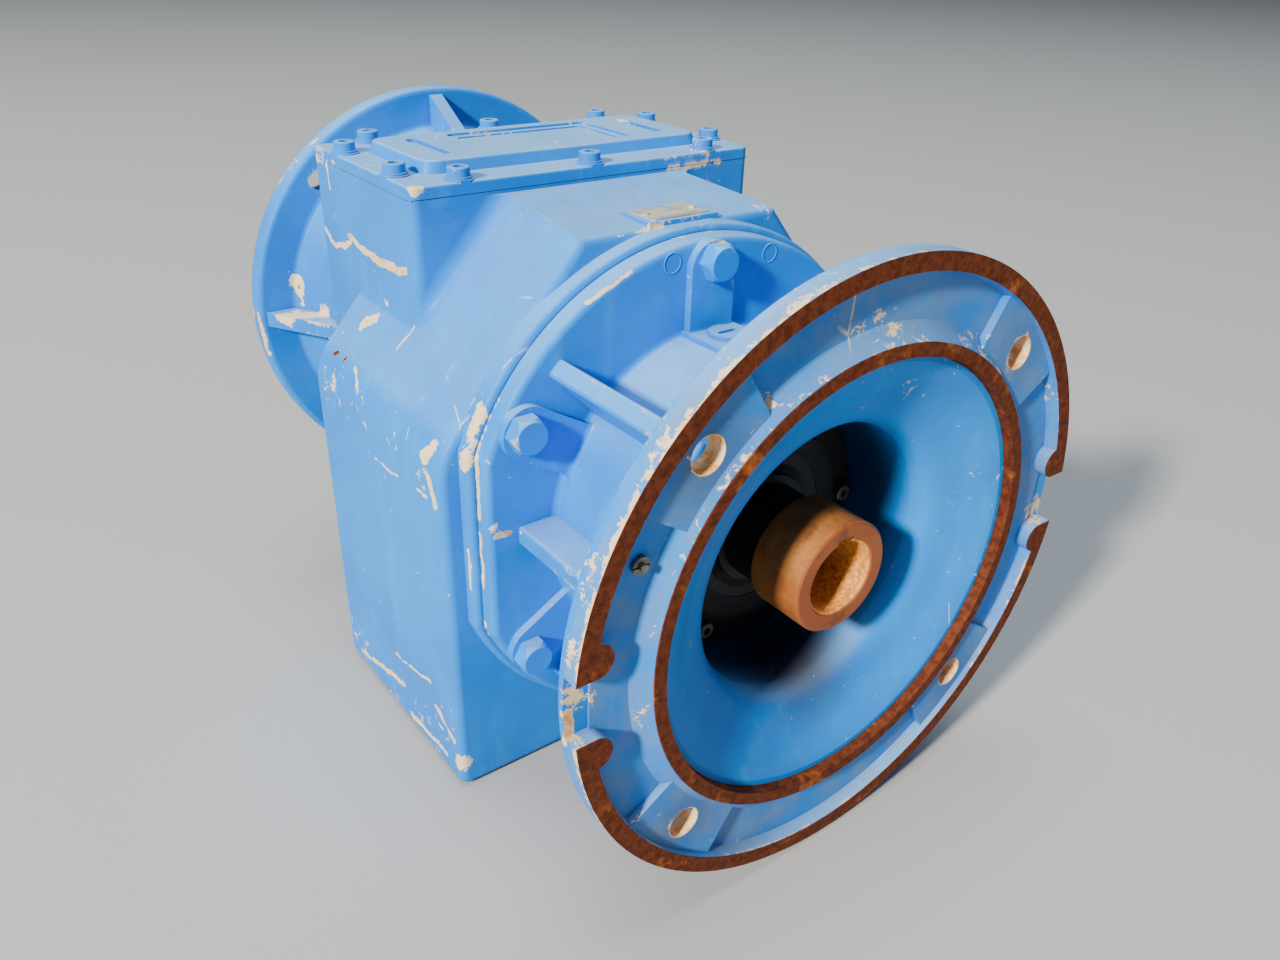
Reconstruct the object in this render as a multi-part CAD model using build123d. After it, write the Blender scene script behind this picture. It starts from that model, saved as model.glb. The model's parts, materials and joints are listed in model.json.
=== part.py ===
from build123d import *
import math
import os

# In-line two-stage helical gearbox with a motor adapter on its input side
# and a bolting flange on its output side. Millimetres.
# Origin: centre of the motor flange's front face. +Y runs along the shafts
# towards the output, +Z is up, +X is to the right seen from the motor.

# ---- shaft lines -----------------------------------------------------------
COUNTER_Z = -85.0
OUTPUT_Z = 37.0

# ---- motor flange, IEC FF300 (B5, 350 mm) ----------------------------------
FLANGE_R = 175.0
FLANGE_T = 15.0
SPIGOT_R = 125.0
SPIGOT_DEPTH = 6.0
LAND_R = 132.0
LAND_FOOT_R = 141.0
RIM_R = 166.0
RECESS_DEPTH = 8.0
RECESS_SCREW_R = 150.5
RECESS_SCREW_ANGLE = 155.8
PAD_DEPTH = 3.5
PAD_HALF_ANGLE = 13.0
MOTOR_PCD_R = 150.0
MOTOR_HOLE_R = 9.25
NOTCH_HALF_WIDTH = 17.0
LOBE_R = 9.0

# ---- adapter body ----------------------------------------------------------
BOWL_R = 121.0
BOWL_MOUTH_R = 80.0
BOWL_MOUTH_Y = 32.0
THROAT_R = 77.0
NECK_R = 100.0
PLATE_FRONT_Y = 133.0
SEAM_Y = 145.0
PLATE_R = 151.0
PLATE_FLAT_X = 141.0
ADAPTER_BOLT_R = 140.0
ADAPTER_BOLT_ANGLES = (30, 90, 150, 210, 270, 330)
PLUG_PAD_Z = 102.0
PLUG_Y = 114.0
ADAPTER_PILOT_R = 124.5
BOLT_SHANK_R = 6.0
GASKET_T = 0.5
RIB_T = 11.0
DIAGONAL_RIB_R = 140.0
SIDE_RIB_X = 123.0
SIDE_RIB_Z = 6.5
BOLT_PAD_HALF = 15.0
BOLT_PAD_H = 5.0
ADAPTER_FILLET = 4.0

# ---- housing ---------------------------------------------------------------
SEAT_R = 155.2
SEAT_FLAT_X = 145.5
BODY_FRONT_Y = 154.6
BODY_BACK_Y = 325.0
BODY_X = 157.0
SHOULDER_X = 67.7
SHOULDER_FRONT_Z = 154.3
SHOULDER_SLOPE = 0.0714
CHAMFER_Z = 51.0
NAMEPLATE_Y = 169.0
NAMEPLATE_PAD_H = 1.5
RIVET_X = 16.5
BOTTOM_Z = -178.0
WALL = 12.0
TOWER_X = 122.2
TOWER_FRONT_Y = 239.6
TOWER_BACK_Y = 377.4
TOWER_TOP_Z = 162.0
TOWER_FILLET = 10.0
SIDE_BLEND_R = 40.0
COVER_TOP_Z = 169.3
COVER_SEAT_X = 98.0
COVER_SEAT_HALF_Y = 44.0
REAR_BOSS_R = 118.0

# ---- output flange, IEC FF265 (B5, 300 mm) ---------------------------------
OUT_FLANGE_R = 150.0
OUT_FACE_Y = 463.0
OUT_RIM_BACK_Y = 449.0
OUT_SPIGOT_R = 115.0
OUT_SPIGOT_H = 4.0
OUT_PCD_R = 132.5
OUT_HOLE_R = 7.25
OUT_BOLT_R = 82.0
OUT_RECESS_R = 100.0
OUT_RECESS_Y = 402.0

# ---- shafts ----------------------------------------------------------------
HUB_R = 32.5
HUB_END_Y = 11.6
HUB_BACK_Y = 46.0
HUB_NECK_R = 28.0
HUB_NECK_END_Y = 73.0
MOTOR_BORE_R = 21.0
MOTOR_BORE_DEPTH = 112.0
MOTOR_KEY_W = 12.0
MOTOR_KEY_TOP = 24.3
OUT_SHAFT_R = 25.0
OUT_SHAFT_LENGTH = 100.0
OUT_KEY_W = 14.0
OUT_KEY_LENGTH = 80.0
OUT_KEY_DEPTH = 5.5

# ---- gears: module, teeth, profile shift, face width, start ----------------
STAGE1_MODULE = 2.5
STAGE2_MODULE = 4.0
INPUT_TEETH = 21
COUNTER_TEETH = 47
PINION_TEETH = 14
OUTPUT_TEETH = 47
STAGE2_SHIFT = 0.3
HELIX_DEG = 12.0
BACKLASH = 0.22
STAGE1_Y = 172.0
STAGE1_W = 32.0
STAGE2_Y = 258.0
STAGE2_W = 38.0

# ---- deep groove ball bearings: bore radius, outer radius, width -----------
BEARING_6213 = (32.5, 60.0, 23.0)
BEARING_6207 = (17.5, 36.0, 17.0)
BEARING_6308 = (20.0, 45.0, 23.0)
BEARING_6309 = (22.5, 50.0, 25.0)
INPUT_BEARING_1_Y = 89.0
INPUT_BEARING_2_Y = 112.0
COUNTER_FRONT_Y = 143.0
COUNTER_REAR_Y = 301.0
OUTPUT_FRONT_Y = 224.0
OUTPUT_REAR_Y = 354.0

SMALL = 0.4


# ---- basic shapes ----------------------------------------------------------
def rod(radius, start, end, x=0.0, z=0.0):
    """Cylinder along Y between two stations."""
    solid = Cylinder(radius, end - start, align=(Align.CENTER, Align.CENTER, Align.MIN))
    return Pos(x, start, z) * Rot(-90, 0, 0) * solid


def ring(outer, inner, start, end, x=0.0, z=0.0):
    """Tube along Y."""
    return rod(outer, start, end, x, z) - rod(inner, start - 1, end + 1, x, z)


def post(radius, bottom, top, x=0.0, y=0.0):
    """Cylinder along Z between two heights."""
    solid = Cylinder(radius, top - bottom, align=(Align.CENTER, Align.CENTER, Align.MIN))
    return Pos(x, y, bottom) * solid


def slab(x0, x1, y0, y1, z0, z1):
    """Box from its two extreme corners."""
    centre = Pos((x0 + x1) / 2, (y0 + y1) / 2, (z0 + z1) / 2)
    return centre * Box(abs(x1 - x0), abs(y1 - y0), abs(z1 - z0))


def turned(points, x=0.0, z=0.0, soften=0.0, corners=()):
    """Solid turned about Y from (station, radius) points; corners are softened by index."""
    outline = Polyline(*[(radius, station) for station, radius in points], close=True)
    face = make_face(outline)
    if soften:
        chosen = []
        for index in corners:
            station, radius = points[index]
            chosen.append(face.vertices().sort_by_distance((radius, station))[0])
        face = fillet(chosen, soften)
    return Pos(x, 0, z) * revolve(face, Axis.Y)


def section_y(points, start, end):
    """Prism along Y from an (x, z) outline."""
    outline = Polyline(*[(px, -pz) for px, pz in points], close=True)
    return Pos(0, start, 0) * Rot(-90, 0, 0) * extrude(make_face(outline), end - start)


def polar(radius, degrees, z=0.0):
    """(x, z) of a place on a circle, from +X towards +Z."""
    angle = math.radians(degrees)
    return radius * math.cos(angle), z + radius * math.sin(angle)


def union(solids):
    """One solid from many."""
    total = solids[0]
    for piece in solids[1:]:
        total = total + piece
    return total


def group(solids):
    """Separate solids kept together in one node."""
    return Compound(children=[s if isinstance(s, Solid) else s.solids()[0] for s in solids])


# ---- fasteners -------------------------------------------------------------
def socket_screw(radius, head_r, head_h, length):
    """Socket head cap screw along +Z, head on top, bearing face at zero."""
    head = Cylinder(head_r, head_h, align=(Align.CENTER, Align.CENTER, Align.MIN))
    head = chamfer(head.edges().group_by(Axis.Z)[-1], head_h * 0.08)
    shank = Pos(0, 0, -length) * Cylinder(
        radius, length, align=(Align.CENTER, Align.CENTER, Align.MIN))
    socket = Pos(0, 0, head_h * 0.45) * extrude(RegularPolygon(head_r * 0.53, 6), head_h)
    return head + shank - socket


def hex_bolt(radius, flats_r, head_h, length):
    """Hexagon head bolt along +Z with a chamfered crown."""
    head = extrude(RegularPolygon(flats_r, 6, major_radius=False), head_h)
    crown = Cone(flats_r * 1.45, flats_r * 0.93, head_h * 1.001,
                 align=(Align.CENTER, Align.CENTER, Align.MIN))
    shank = Pos(0, 0, -length) * Cylinder(
        radius, length, align=(Align.CENTER, Align.CENTER, Align.MIN))
    return (head & crown) + shank


def hex_plug(radius, flats_r, head_h, collar_r, length):
    """Screw plug along +Z with a collar under its hexagon head."""
    collar = Cylinder(collar_r, 3.0, align=(Align.CENTER, Align.CENTER, Align.MIN))
    head = Pos(0, 0, 3.0) * extrude(RegularPolygon(flats_r, 6, major_radius=False), head_h)
    shank = Pos(0, 0, -length) * Cylinder(
        radius, length, align=(Align.CENTER, Align.CENTER, Align.MIN))
    return collar + head + shank


# ---- bearings --------------------------------------------------------------
def bearing(size, start, z):
    """Outer ring, inner ring and caged balls of a deep groove bearing."""
    bore, outside, width = size
    pitch = (bore + outside) / 2
    ball = (outside - bore) * 0.29
    centre = start + width / 2
    groove = Pos(0, centre, z) * Rot(-90, 0, 0) * Torus(pitch, ball + SMALL)
    outer = ring(outside, pitch + ball * 0.55, start, start + width, z=z) - groove
    inner = ring(pitch - ball * 0.55, bore, start, start + width, z=z) - groove
    count = int(math.pi / math.asin(ball * 1.12 / pitch))
    cage = ring(pitch + ball * 0.22, pitch - ball * 0.22, start + 2, start + width - 2, z=z)
    balls = []
    for index in range(count):
        angle = 360.0 * index / count
        px, pz = polar(pitch, angle, z)
        pocket = Rot(0, 90 - angle, 0) * Cylinder(ball + 0.15, ball * 2)
        cage = cage - Pos(px, centre, pz) * pocket
        balls.append(Pos(px, centre, pz) * Sphere(ball))
    return outer, inner, group([cage] + balls)


# ---- gears -----------------------------------------------------------------
def involute(angle):
    """Involute function of a pressure angle."""
    return math.tan(angle) - angle


def tooth_flank(base_r, root_r, tip_r, pitch_r, half_angle_at_pitch):
    """One flank as (radius, angle from the tooth's centre line), root to tip."""
    at_pitch = involute(math.acos(base_r / pitch_r))
    start_r = max(base_r, root_r)
    points = []
    steps = 6
    for index in range(steps + 1):
        radius = start_r + (tip_r - start_r) * index / steps
        roll = involute(math.acos(min(1.0, base_r / radius)))
        points.append((radius, half_angle_at_pitch + at_pitch - roll))
    if root_r < base_r:
        points.insert(0, (root_r, points[0][1]))
    return points


def gear(module, teeth, shift, width, start, z, phase_deg, twist_sign, bore_r):
    """Helical involute gear along Y; phase_deg is where a tooth's centre stands."""
    pitch_r = module * teeth / 2
    base_r = pitch_r * math.cos(math.radians(20))
    root_r = pitch_r - module * (1.25 - shift)
    tip_r = pitch_r + module * (1 + shift)
    thickness = module * (math.pi / 2 + 2 * shift * math.tan(math.radians(20))) - BACKLASH / 2
    flank = tooth_flank(base_r, root_r, tip_r, pitch_r, thickness / 2 / pitch_r)
    outline = []
    for index in range(teeth):
        centre = math.radians(phase_deg) + 2 * math.pi * index / teeth
        rising = [(r, centre - a) for r, a in flank]
        falling = [(r, centre + a) for r, a in reversed(flank)]
        for radius, angle in rising + falling:
            outline.append((radius * math.cos(angle), radius * math.sin(angle)))
    face = make_face(Polyline(*outline, close=True))
    twist = math.degrees(width * math.tan(math.radians(HELIX_DEG)) / pitch_r) * twist_sign
    blank = Solid.extrude_linear_with_rotation(face.face(), (0, 0, 0), (0, 0, width), twist)
    wheel = Pos(0, start, z) * Rot(-90, 0, 0) * blank
    if bore_r:
        wheel = wheel - rod(bore_r, start - 1, start + width + 1, z=z)
    return wheel


# ---- input adapter ---------------------------------------------------------
def motor_flange_face():
    """Cut-outs of the motor face: ring recess, pads left standing, rim notches."""
    floor = turned([(-1, LAND_R), (-1, RIM_R), (RECESS_DEPTH, RIM_R - 1.5),
                    (RECESS_DEPTH, LAND_FOOT_R), (0, LAND_R)])
    pads = []
    for angle in (45, 135, 225, 315):
        wedge = [(0.0, 0.0), polar(200, angle - PAD_HALF_ANGLE), polar(200, angle + PAD_HALF_ANGLE)]
        pads.append(section_y(wedge, PAD_DEPTH, RECESS_DEPTH + 2))
    lobes = []
    for side in (0, 180):
        lift = math.degrees(math.asin((NOTCH_HALF_WIDTH + LOBE_R) / RIM_R))
        for angle in (side - lift, side + lift):
            x, z = polar(RIM_R - 0.5, angle)
            lobes.append(rod(LOBE_R, 0, RECESS_DEPTH + 2, x, z))
    return floor - union(pads + lobes)


def trumpet():
    """Inner bowl and throat of the adapter, open towards the motor."""
    with BuildSketch() as sketch:
        with BuildLine():
            Line((0, -1), (SPIGOT_R, -1))
            Line((SPIGOT_R, -1), (SPIGOT_R, SPIGOT_DEPTH))
            Line((SPIGOT_R, SPIGOT_DEPTH), (BOWL_R, SPIGOT_DEPTH))
            Spline((BOWL_R, SPIGOT_DEPTH), (101, 16.5), (BOWL_MOUTH_R + 4, 25.5),
                   (BOWL_MOUTH_R - 1, BOWL_MOUTH_Y + 3),
                   tangents=[(-0.95, 0.31), (-0.25, 1)])
            Line((BOWL_MOUTH_R - 1, BOWL_MOUTH_Y + 3), (THROAT_R, INPUT_BEARING_1_Y - 1))
            Line((THROAT_R, INPUT_BEARING_1_Y - 1), (0, INPUT_BEARING_1_Y - 1))
            Line((0, INPUT_BEARING_1_Y - 1), (0, -1))
        make_face()
    return revolve(sketch.sketch, Axis.Y)


def adapter_neck():
    """Outer wall of the adapter between the motor flange and the plate."""
    return turned([(FLANGE_T - 4, 0), (FLANGE_T - 4, 138), (FLANGE_T + 3, 136), (46, NECK_R + 2),
                   (PLATE_FRONT_Y + 2, NECK_R), (PLATE_FRONT_Y + 2, 0)],
                  soften=14, corners=(3,))


def flat_sided_disc(radius, flat_x, start, end, edge=0.0):
    """Disc along Y with a flat on each side, and a rounded front edge."""
    disc = rod(radius, start, end) & slab(-flat_x, flat_x, start - 1, end + 1, -radius, radius)
    if edge:
        disc = fillet(disc.edges().group_by(Axis.Y)[0], edge)
    return disc


def adapter_ribs():
    """Stiffening ribs along the neck, from the plate to the back of the motor flange."""
    start = FLANGE_T - 4
    end = PLATE_FRONT_Y + 4
    ribs = []
    for angle in (45, 135, 225, 315):
        web = slab(70, DIAGONAL_RIB_R, start, end, -RIB_T / 2, RIB_T / 2)
        web = fillet(web.edges().filter_by(Axis.Y).group_by(Axis.X)[-1], 2.0)
        ribs.append(Rot(0, -angle, 0) * web)
    for side in (-1, 1):
        web = slab(side * 70, side * SIDE_RIB_X, start, end, SIDE_RIB_Z - RIB_T / 2,
                   SIDE_RIB_Z + RIB_T / 2)
        ribs.append(fillet(web.edges().filter_by(Axis.Y).sort_by(Axis.X)[::-side][:2], 2.0))
    return ribs


def bolt_pads():
    """Raised seats that run from each adapter bolt to the neck."""
    front = PLATE_FRONT_Y - BOLT_PAD_H
    pads = []
    for angle in ADAPTER_BOLT_ANGLES:
        pad = slab(80, ADAPTER_BOLT_R - 4, front, PLATE_FRONT_Y + 4, -BOLT_PAD_HALF, BOLT_PAD_HALF)
        pad = pad + rod(BOLT_PAD_HALF, front, PLATE_FRONT_Y + 4, ADAPTER_BOLT_R - 4, 0)
        pads.append(Rot(0, -angle, 0) * pad)
    return pads


def input_adapter():
    """Cast bell between the motor and the gear housing, with the bearing seats."""
    plate = flat_sided_disc(PLATE_R, PLATE_FLAT_X, PLATE_FRONT_Y, SEAM_Y - GASKET_T, 4.0)
    plate = union([plate] + bolt_pads())
    neck = adapter_neck()
    body = plate + neck
    body = body.fillet(ADAPTER_FILLET, new_edges(plate, neck, combined=body))
    disc = rod(FLANGE_R, 0, FLANGE_T)
    disc = fillet(disc.edges().group_by(Axis.Y)[-1], 3.0)
    body = union([body, disc] + adapter_ribs())
    body = body + slab(-17, 17, 97, PLATE_FRONT_Y + 4, 60, PLUG_PAD_Z)
    body = body + rod(ADAPTER_PILOT_R, SEAM_Y - GASKET_T - 1, SEAM_Y + 6)
    seat_end = COUNTER_FRONT_Y + BEARING_6207[2]
    body = body + (rod(46, SEAM_Y, seat_end, z=COUNTER_Z) & rod(ADAPTER_PILOT_R, SEAM_Y, seat_end))
    body = body - trumpet() - motor_flange_face()
    body = body - rod(BEARING_6213[1], INPUT_BEARING_1_Y - 3, INPUT_BEARING_2_Y + 23)
    body = body - rod(40, INPUT_BEARING_2_Y + 20, INPUT_BEARING_2_Y + 28)
    body = body - rod(31, INPUT_BEARING_2_Y + 20, SEAM_Y + 20)
    body = body - rod(BEARING_6207[1], COUNTER_FRONT_Y, COUNTER_FRONT_Y + 30, z=COUNTER_Z)
    body = body - rod(24, COUNTER_FRONT_Y - 3, COUNTER_FRONT_Y + 5, z=COUNTER_Z)
    for angle in (45, 135, 225, 315):
        x, z = polar(MOTOR_PCD_R, angle)
        body = body - rod(MOTOR_HOLE_R, -1, FLANGE_T + 1, x, z)
        body = body - rod(16.5, FLANGE_T, FLANGE_T + 22, x, z)
    for side in (0, 180):
        x, _ = polar(FLANGE_R, side)
        cut_depth = RECESS_DEPTH + 1.5
        notch = slab(x - 13, x + 13, -1, cut_depth, -NOTCH_HALF_WIDTH, NOTCH_HALF_WIDTH)
        body = body - notch
    for angle in ADAPTER_BOLT_ANGLES:
        x, z = polar(ADAPTER_BOLT_R, angle)
        body = body - rod(BOLT_SHANK_R + 0.5, PLATE_FRONT_Y - 30, SEAM_Y + 1, x, z)
    body = body - post(8.0, 84, 110, 0, PLUG_Y)
    for angle in range(0, 360, 60):
        x, z = polar(68.5, angle)
        body = body - rod(3.4, INPUT_BEARING_1_Y - 2, INPUT_BEARING_1_Y + 14, x, z)
    x, z = polar(RECESS_SCREW_R, RECESS_SCREW_ANGLE)
    return body - rod(2.0, 2, 12, x, z)


def input_bearing_cover():
    """Bolted ring that holds the input bearings and carries the shaft seal."""
    start = INPUT_BEARING_1_Y - 14
    cover = turned([(start, 45), (start, 58), (start + 6, 60), (start + 6, 75.5), (start + 13, 75.5),
                    (start + 13, 59.8), (start + 14, 59.8), (start + 14, 41), (start + 11, 41),
                    (start + 11, 45)])
    for angle in range(0, 360, 60):
        x, z = polar(68.5, angle)
        cover = cover - rod(3.6, start, start + 20, x, z)
    return cover


def cover_ring_screws():
    """Screws of the input bearing cover."""
    screws = []
    for angle in range(0, 360, 60):
        x, z = polar(68.5, angle)
        screw = socket_screw(3.2, 5.0, 6.0, 18)
        screws.append(Pos(x, INPUT_BEARING_1_Y - 8, z) * Rot(90, 0, 0) * screw)
    return group(screws)


def shaft_seal(bore, outside, start, width, z=0.0):
    """Radial shaft seal with its lip."""
    return turned([(start, outside), (start, bore + 6), (start + 2, bore + 2.5),
                   (start + 3, bore + 0.05), (start + 4, bore + 0.05), (start + 5.5, bore + 4),
                   (start + 5.5, outside - 3), (start + width, outside - 3),
                   (start + width, outside)], z=z)


def adapter_bolts():
    """Hexagon bolts that hold the adapter to the housing."""
    bolts = []
    for angle in ADAPTER_BOLT_ANGLES:
        x, z = polar(ADAPTER_BOLT_R, angle)
        seat = PLATE_FRONT_Y - BOLT_PAD_H
        bolt = hex_bolt(BOLT_SHANK_R, 9.5, 9.5, SEAM_Y + 14 - seat)
        bolts.append(Pos(x, seat, z) * Rot(90, 0, 0) * bolt)
    return group(bolts)


def adapter_gasket():
    """Flat gasket between the adapter and the housing."""
    gasket = flat_sided_disc(PLATE_R - 1, PLATE_FLAT_X - 1, SEAM_Y - GASKET_T, SEAM_Y)
    gasket = gasket - rod(ADAPTER_PILOT_R + 0.2, SEAM_Y - 5, SEAM_Y + 5)
    for angle in ADAPTER_BOLT_ANGLES:
        x, z = polar(ADAPTER_BOLT_R, angle)
        gasket = gasket - rod(BOLT_SHANK_R + 0.5, SEAM_Y - 5, SEAM_Y + 5, x, z)
    return gasket


def adapter_plug():
    """Slotted screw plug in the pad on top of the adapter."""
    plug = post(7.9, 92, PLUG_PAD_Z, 0, PLUG_Y) + post(10.5, PLUG_PAD_Z, PLUG_PAD_Z + 2.5, 0, PLUG_Y)
    return plug - extrude(Pos(0, PLUG_Y, PLUG_PAD_Z + 1) * SlotOverall(13, 3), 5)


def recess_screw():
    """Small slotted screw in the motor flange's recess."""
    x, z = polar(RECESS_SCREW_R, RECESS_SCREW_ANGLE)
    screw = rod(1.9, 3, 11, x, z) + rod(4.5, RECESS_DEPTH - 2.6, RECESS_DEPTH, x, z)
    return screw - slab(x - 6, x + 6, RECESS_DEPTH - 3, RECESS_DEPTH - 1.6, z - 0.5, z + 0.5)


# ---- housing ---------------------------------------------------------------
def shoulder_z(y):
    """Height of the sloping shoulder above the lower body."""
    return SHOULDER_FRONT_Z + SHOULDER_SLOPE * (y - BODY_FRONT_Y)


def body_prism(inset, front, back):
    """Lower body, or its cavity when inset by the wall."""
    steep = (SHOULDER_FRONT_Z - CHAMFER_Z) / (BODY_X - SHOULDER_X)
    half = BODY_X - inset
    low = BOTTOM_Z + inset
    corner = CHAMFER_Z - inset * 0.35
    high = 190.0
    inner = half - (high - corner) / steep
    outline = [(-half, low), (half, low), (half, corner), (inner, high), (-inner, high),
               (-half, corner)]
    prism = section_y(outline, front, back)
    ridge = shoulder_z(TOWER_FRONT_Y) - inset
    side = [(front, low - 5), (back, low - 5), (back, ridge), (TOWER_FRONT_Y, ridge),
            (front, shoulder_z(front) - inset)]
    profile = Polyline(*side, close=True)
    limit = extrude(Plane.YZ * make_face(profile), 200, both=True)
    return prism & limit


def housing_shell():
    """Outer shape of the cast housing."""
    body = body_prism(0.0, BODY_FRONT_Y, BODY_BACK_Y)
    sides = [e for e in body.edges().filter_by(Axis.Y) if abs(e.center().Z - CHAMFER_Z) < 1]
    body = fillet(sides, SIDE_BLEND_R)
    lowest = [e for e in body.edges().filter_by(Axis.Y) if e.center().Z < BOTTOM_Z + 1]
    body = fillet(lowest, 7.0)
    body = fillet(body.edges().group_by(Axis.Y)[0], 5.0)
    body = fillet(body.edges().group_by(Axis.Y)[-1], 5.0)
    tower = slab(-TOWER_X, TOWER_X, TOWER_FRONT_Y, TOWER_BACK_Y, -20, TOWER_TOP_Z)
    tower = fillet(tower.edges().filter_by(Axis.Z), 6.0)
    joined = body + tower
    root = [e for e in new_edges(body, tower, combined=joined) if e.center().Z > CHAMFER_Z]
    joined = joined.fillet(TOWER_FILLET, root)
    seat = flat_sided_disc(SEAT_R, SEAT_FLAT_X, SEAM_Y, BODY_FRONT_Y + 3, 3.5)
    seat = seat & slab(-BODY_X, BODY_X, SEAM_Y - 1, BODY_FRONT_Y + 8, BOTTOM_Z, SHOULDER_FRONT_Z)
    boss = rod(REAR_BOSS_R, BODY_BACK_Y - 8, TOWER_BACK_Y, z=OUTPUT_Z)
    cap_boss = rod(60, BODY_BACK_Y - 8, BODY_BACK_Y + 8, z=COUNTER_Z)
    pad = slab(-24, 24, NAMEPLATE_Y - 14, NAMEPLATE_Y + 14, 120, shoulder_z(NAMEPLATE_Y) + NAMEPLATE_PAD_H)
    return joined + seat + boss + cap_boss + pad


def housing_cavity():
    """Everything hollow inside the housing."""
    lower = body_prism(WALL, BODY_FRONT_Y + WALL, BODY_BACK_Y - WALL)
    tower = slab(-TOWER_X + WALL, TOWER_X - WALL, TOWER_FRONT_Y + WALL, TOWER_BACK_Y - 25.4,
                 0, TOWER_TOP_Z - 14)
    centre_y = (TOWER_FRONT_Y + TOWER_BACK_Y) / 2
    mouth = slab(-COVER_SEAT_X, COVER_SEAT_X, centre_y - COVER_SEAT_HALF_Y,
                 centre_y + COVER_SEAT_HALF_Y, TOWER_TOP_Z - 30, TOWER_TOP_Z + 2)
    rear = rod(REAR_BOSS_R - WALL, BODY_BACK_Y - 20, TOWER_BACK_Y - 25.4, z=OUTPUT_Z)
    return lower + tower + mouth + rear


def housing():
    """Cast gear housing with its inner bearing web."""
    web = slab(-BODY_X + 4, BODY_X - 4, OUTPUT_FRONT_Y - 3, OUTPUT_FRONT_Y + 25, -25, 45)
    web = web + rod(64, OUTPUT_FRONT_Y - 3, OUTPUT_FRONT_Y + 25, z=OUTPUT_Z)
    web = web + slab(-30, 30, OUTPUT_FRONT_Y - 3, OUTPUT_FRONT_Y + 10, 60, 155)
    boss = rod(58, COUNTER_REAR_Y, BODY_BACK_Y, z=COUNTER_Z)
    shell = housing_shell() - housing_cavity() + web + boss
    shell = shell - rod(ADAPTER_PILOT_R + 0.5, SEAM_Y - 1, BODY_FRONT_Y + WALL + 1)
    shell = shell - rod(BEARING_6309[1], OUTPUT_FRONT_Y, OUTPUT_FRONT_Y + 30, z=OUTPUT_Z)
    shell = shell - rod(40, OUTPUT_FRONT_Y - 5, OUTPUT_FRONT_Y + 5, z=OUTPUT_Z)
    rear_end = COUNTER_REAR_Y + BEARING_6308[2]
    shell = shell - rod(BEARING_6308[1], COUNTER_REAR_Y - 1, rear_end, z=COUNTER_Z)
    shell = shell - rod(BEARING_6213[1], TOWER_BACK_Y - 30, TOWER_BACK_Y + 1, z=OUTPUT_Z)
    for angle in ADAPTER_BOLT_ANGLES:
        x, z = polar(ADAPTER_BOLT_R, angle)
        shell = shell - rod(BOLT_SHANK_R + 0.1, SEAM_Y - 1, SEAM_Y + 17, x, z)
    for x, y in cover_screw_places():
        shell = shell - post(4.1, TOWER_TOP_Z - 13, TOWER_TOP_Z + 1, x, y)
    for angle in range(0, 360, 60):
        x, z = polar(OUT_BOLT_R, angle, OUTPUT_Z)
        shell = shell - rod(6.1, TOWER_BACK_Y - 20, TOWER_BACK_Y + 1, x, z)
    for plug_y, plug_z in side_plug_places():
        drill = Pos(BODY_X - 16, plug_y, plug_z) * Rot(0, 90, 0)
        shell = shell - drill * Cylinder(8.1, 30, align=(Align.CENTER, Align.CENTER, Align.MIN))
    for side in (-1, 1):
        low = shoulder_z(NAMEPLATE_Y) - 4
        shell = shell - post(1.25, low, low + 9, side * RIVET_X, NAMEPLATE_Y)
    return shell


def side_plug_places():
    """Level and drain plugs on the right side of the body, as (y, z)."""
    return ((BODY_BACK_Y - 40, -20.0), (BODY_BACK_Y - 40, -150.0))


def cover_screw_places():
    """Ten screws round the top cover, as (x, y)."""
    centre_y = (TOWER_FRONT_Y + TOWER_BACK_Y) / 2
    places = []
    for side in (-1, 1):
        for x in (-88.0, 0.0, 88.0):
            places.append((x, centre_y + side * 61.0))
        for y in (-35.0, 35.0):
            places.append((side * 114.5, centre_y + y))
    return places


def top_cover():
    """Cast lid of the tower with a raised, recessed panel."""
    centre_y = (TOWER_FRONT_Y + TOWER_BACK_Y) / 2
    floor = TOWER_TOP_Z + GASKET_T
    plate = slab(-TOWER_X, TOWER_X, TOWER_FRONT_Y, TOWER_BACK_Y, floor, COVER_TOP_Z)
    plate = fillet(plate.edges().filter_by(Axis.Z), 6.0)
    plate = fillet(plate.edges().group_by(Axis.Z)[-1], 1.5)
    low = Pos(0, centre_y - 3, COVER_TOP_Z - 0.5) * RectangleRounded(204, 84, 12)
    high = Pos(0, centre_y - 3, COVER_TOP_Z + 7) * RectangleRounded(198, 79, 11)
    panel = loft([low.face(), high.face()])
    panel = fillet(panel.edges().group_by(Axis.Z)[-1], 2.0)
    cover = plate + panel
    cover = cover - Pos(0, centre_y - 3, COVER_TOP_Z + 5.5) * extrude(
        RectangleRounded(104, 58, 5), 5)
    cover = cover - Pos(0, centre_y - 3, COVER_TOP_Z + 4.5) * extrude(
        RectangleRounded(94, 48, 4), 5)
    for side in (-1, 1):
        cover = cover - Pos(side * 78, centre_y - 3, COVER_TOP_Z + 5) * extrude(
            RectangleRounded(7, 50, 3), 5)
    for x, y in cover_screw_places():
        cover = cover + post(8.6, COVER_TOP_Z - 1, COVER_TOP_Z + 0.8, x, y)
    bound = slab(-TOWER_X, TOWER_X, TOWER_FRONT_Y, TOWER_BACK_Y, floor, COVER_TOP_Z + 20)
    cover = cover & bound
    for x, y in cover_screw_places():
        cover = cover - post(4.5, floor - 5, COVER_TOP_Z + 5, x, y)
    return cover


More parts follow.
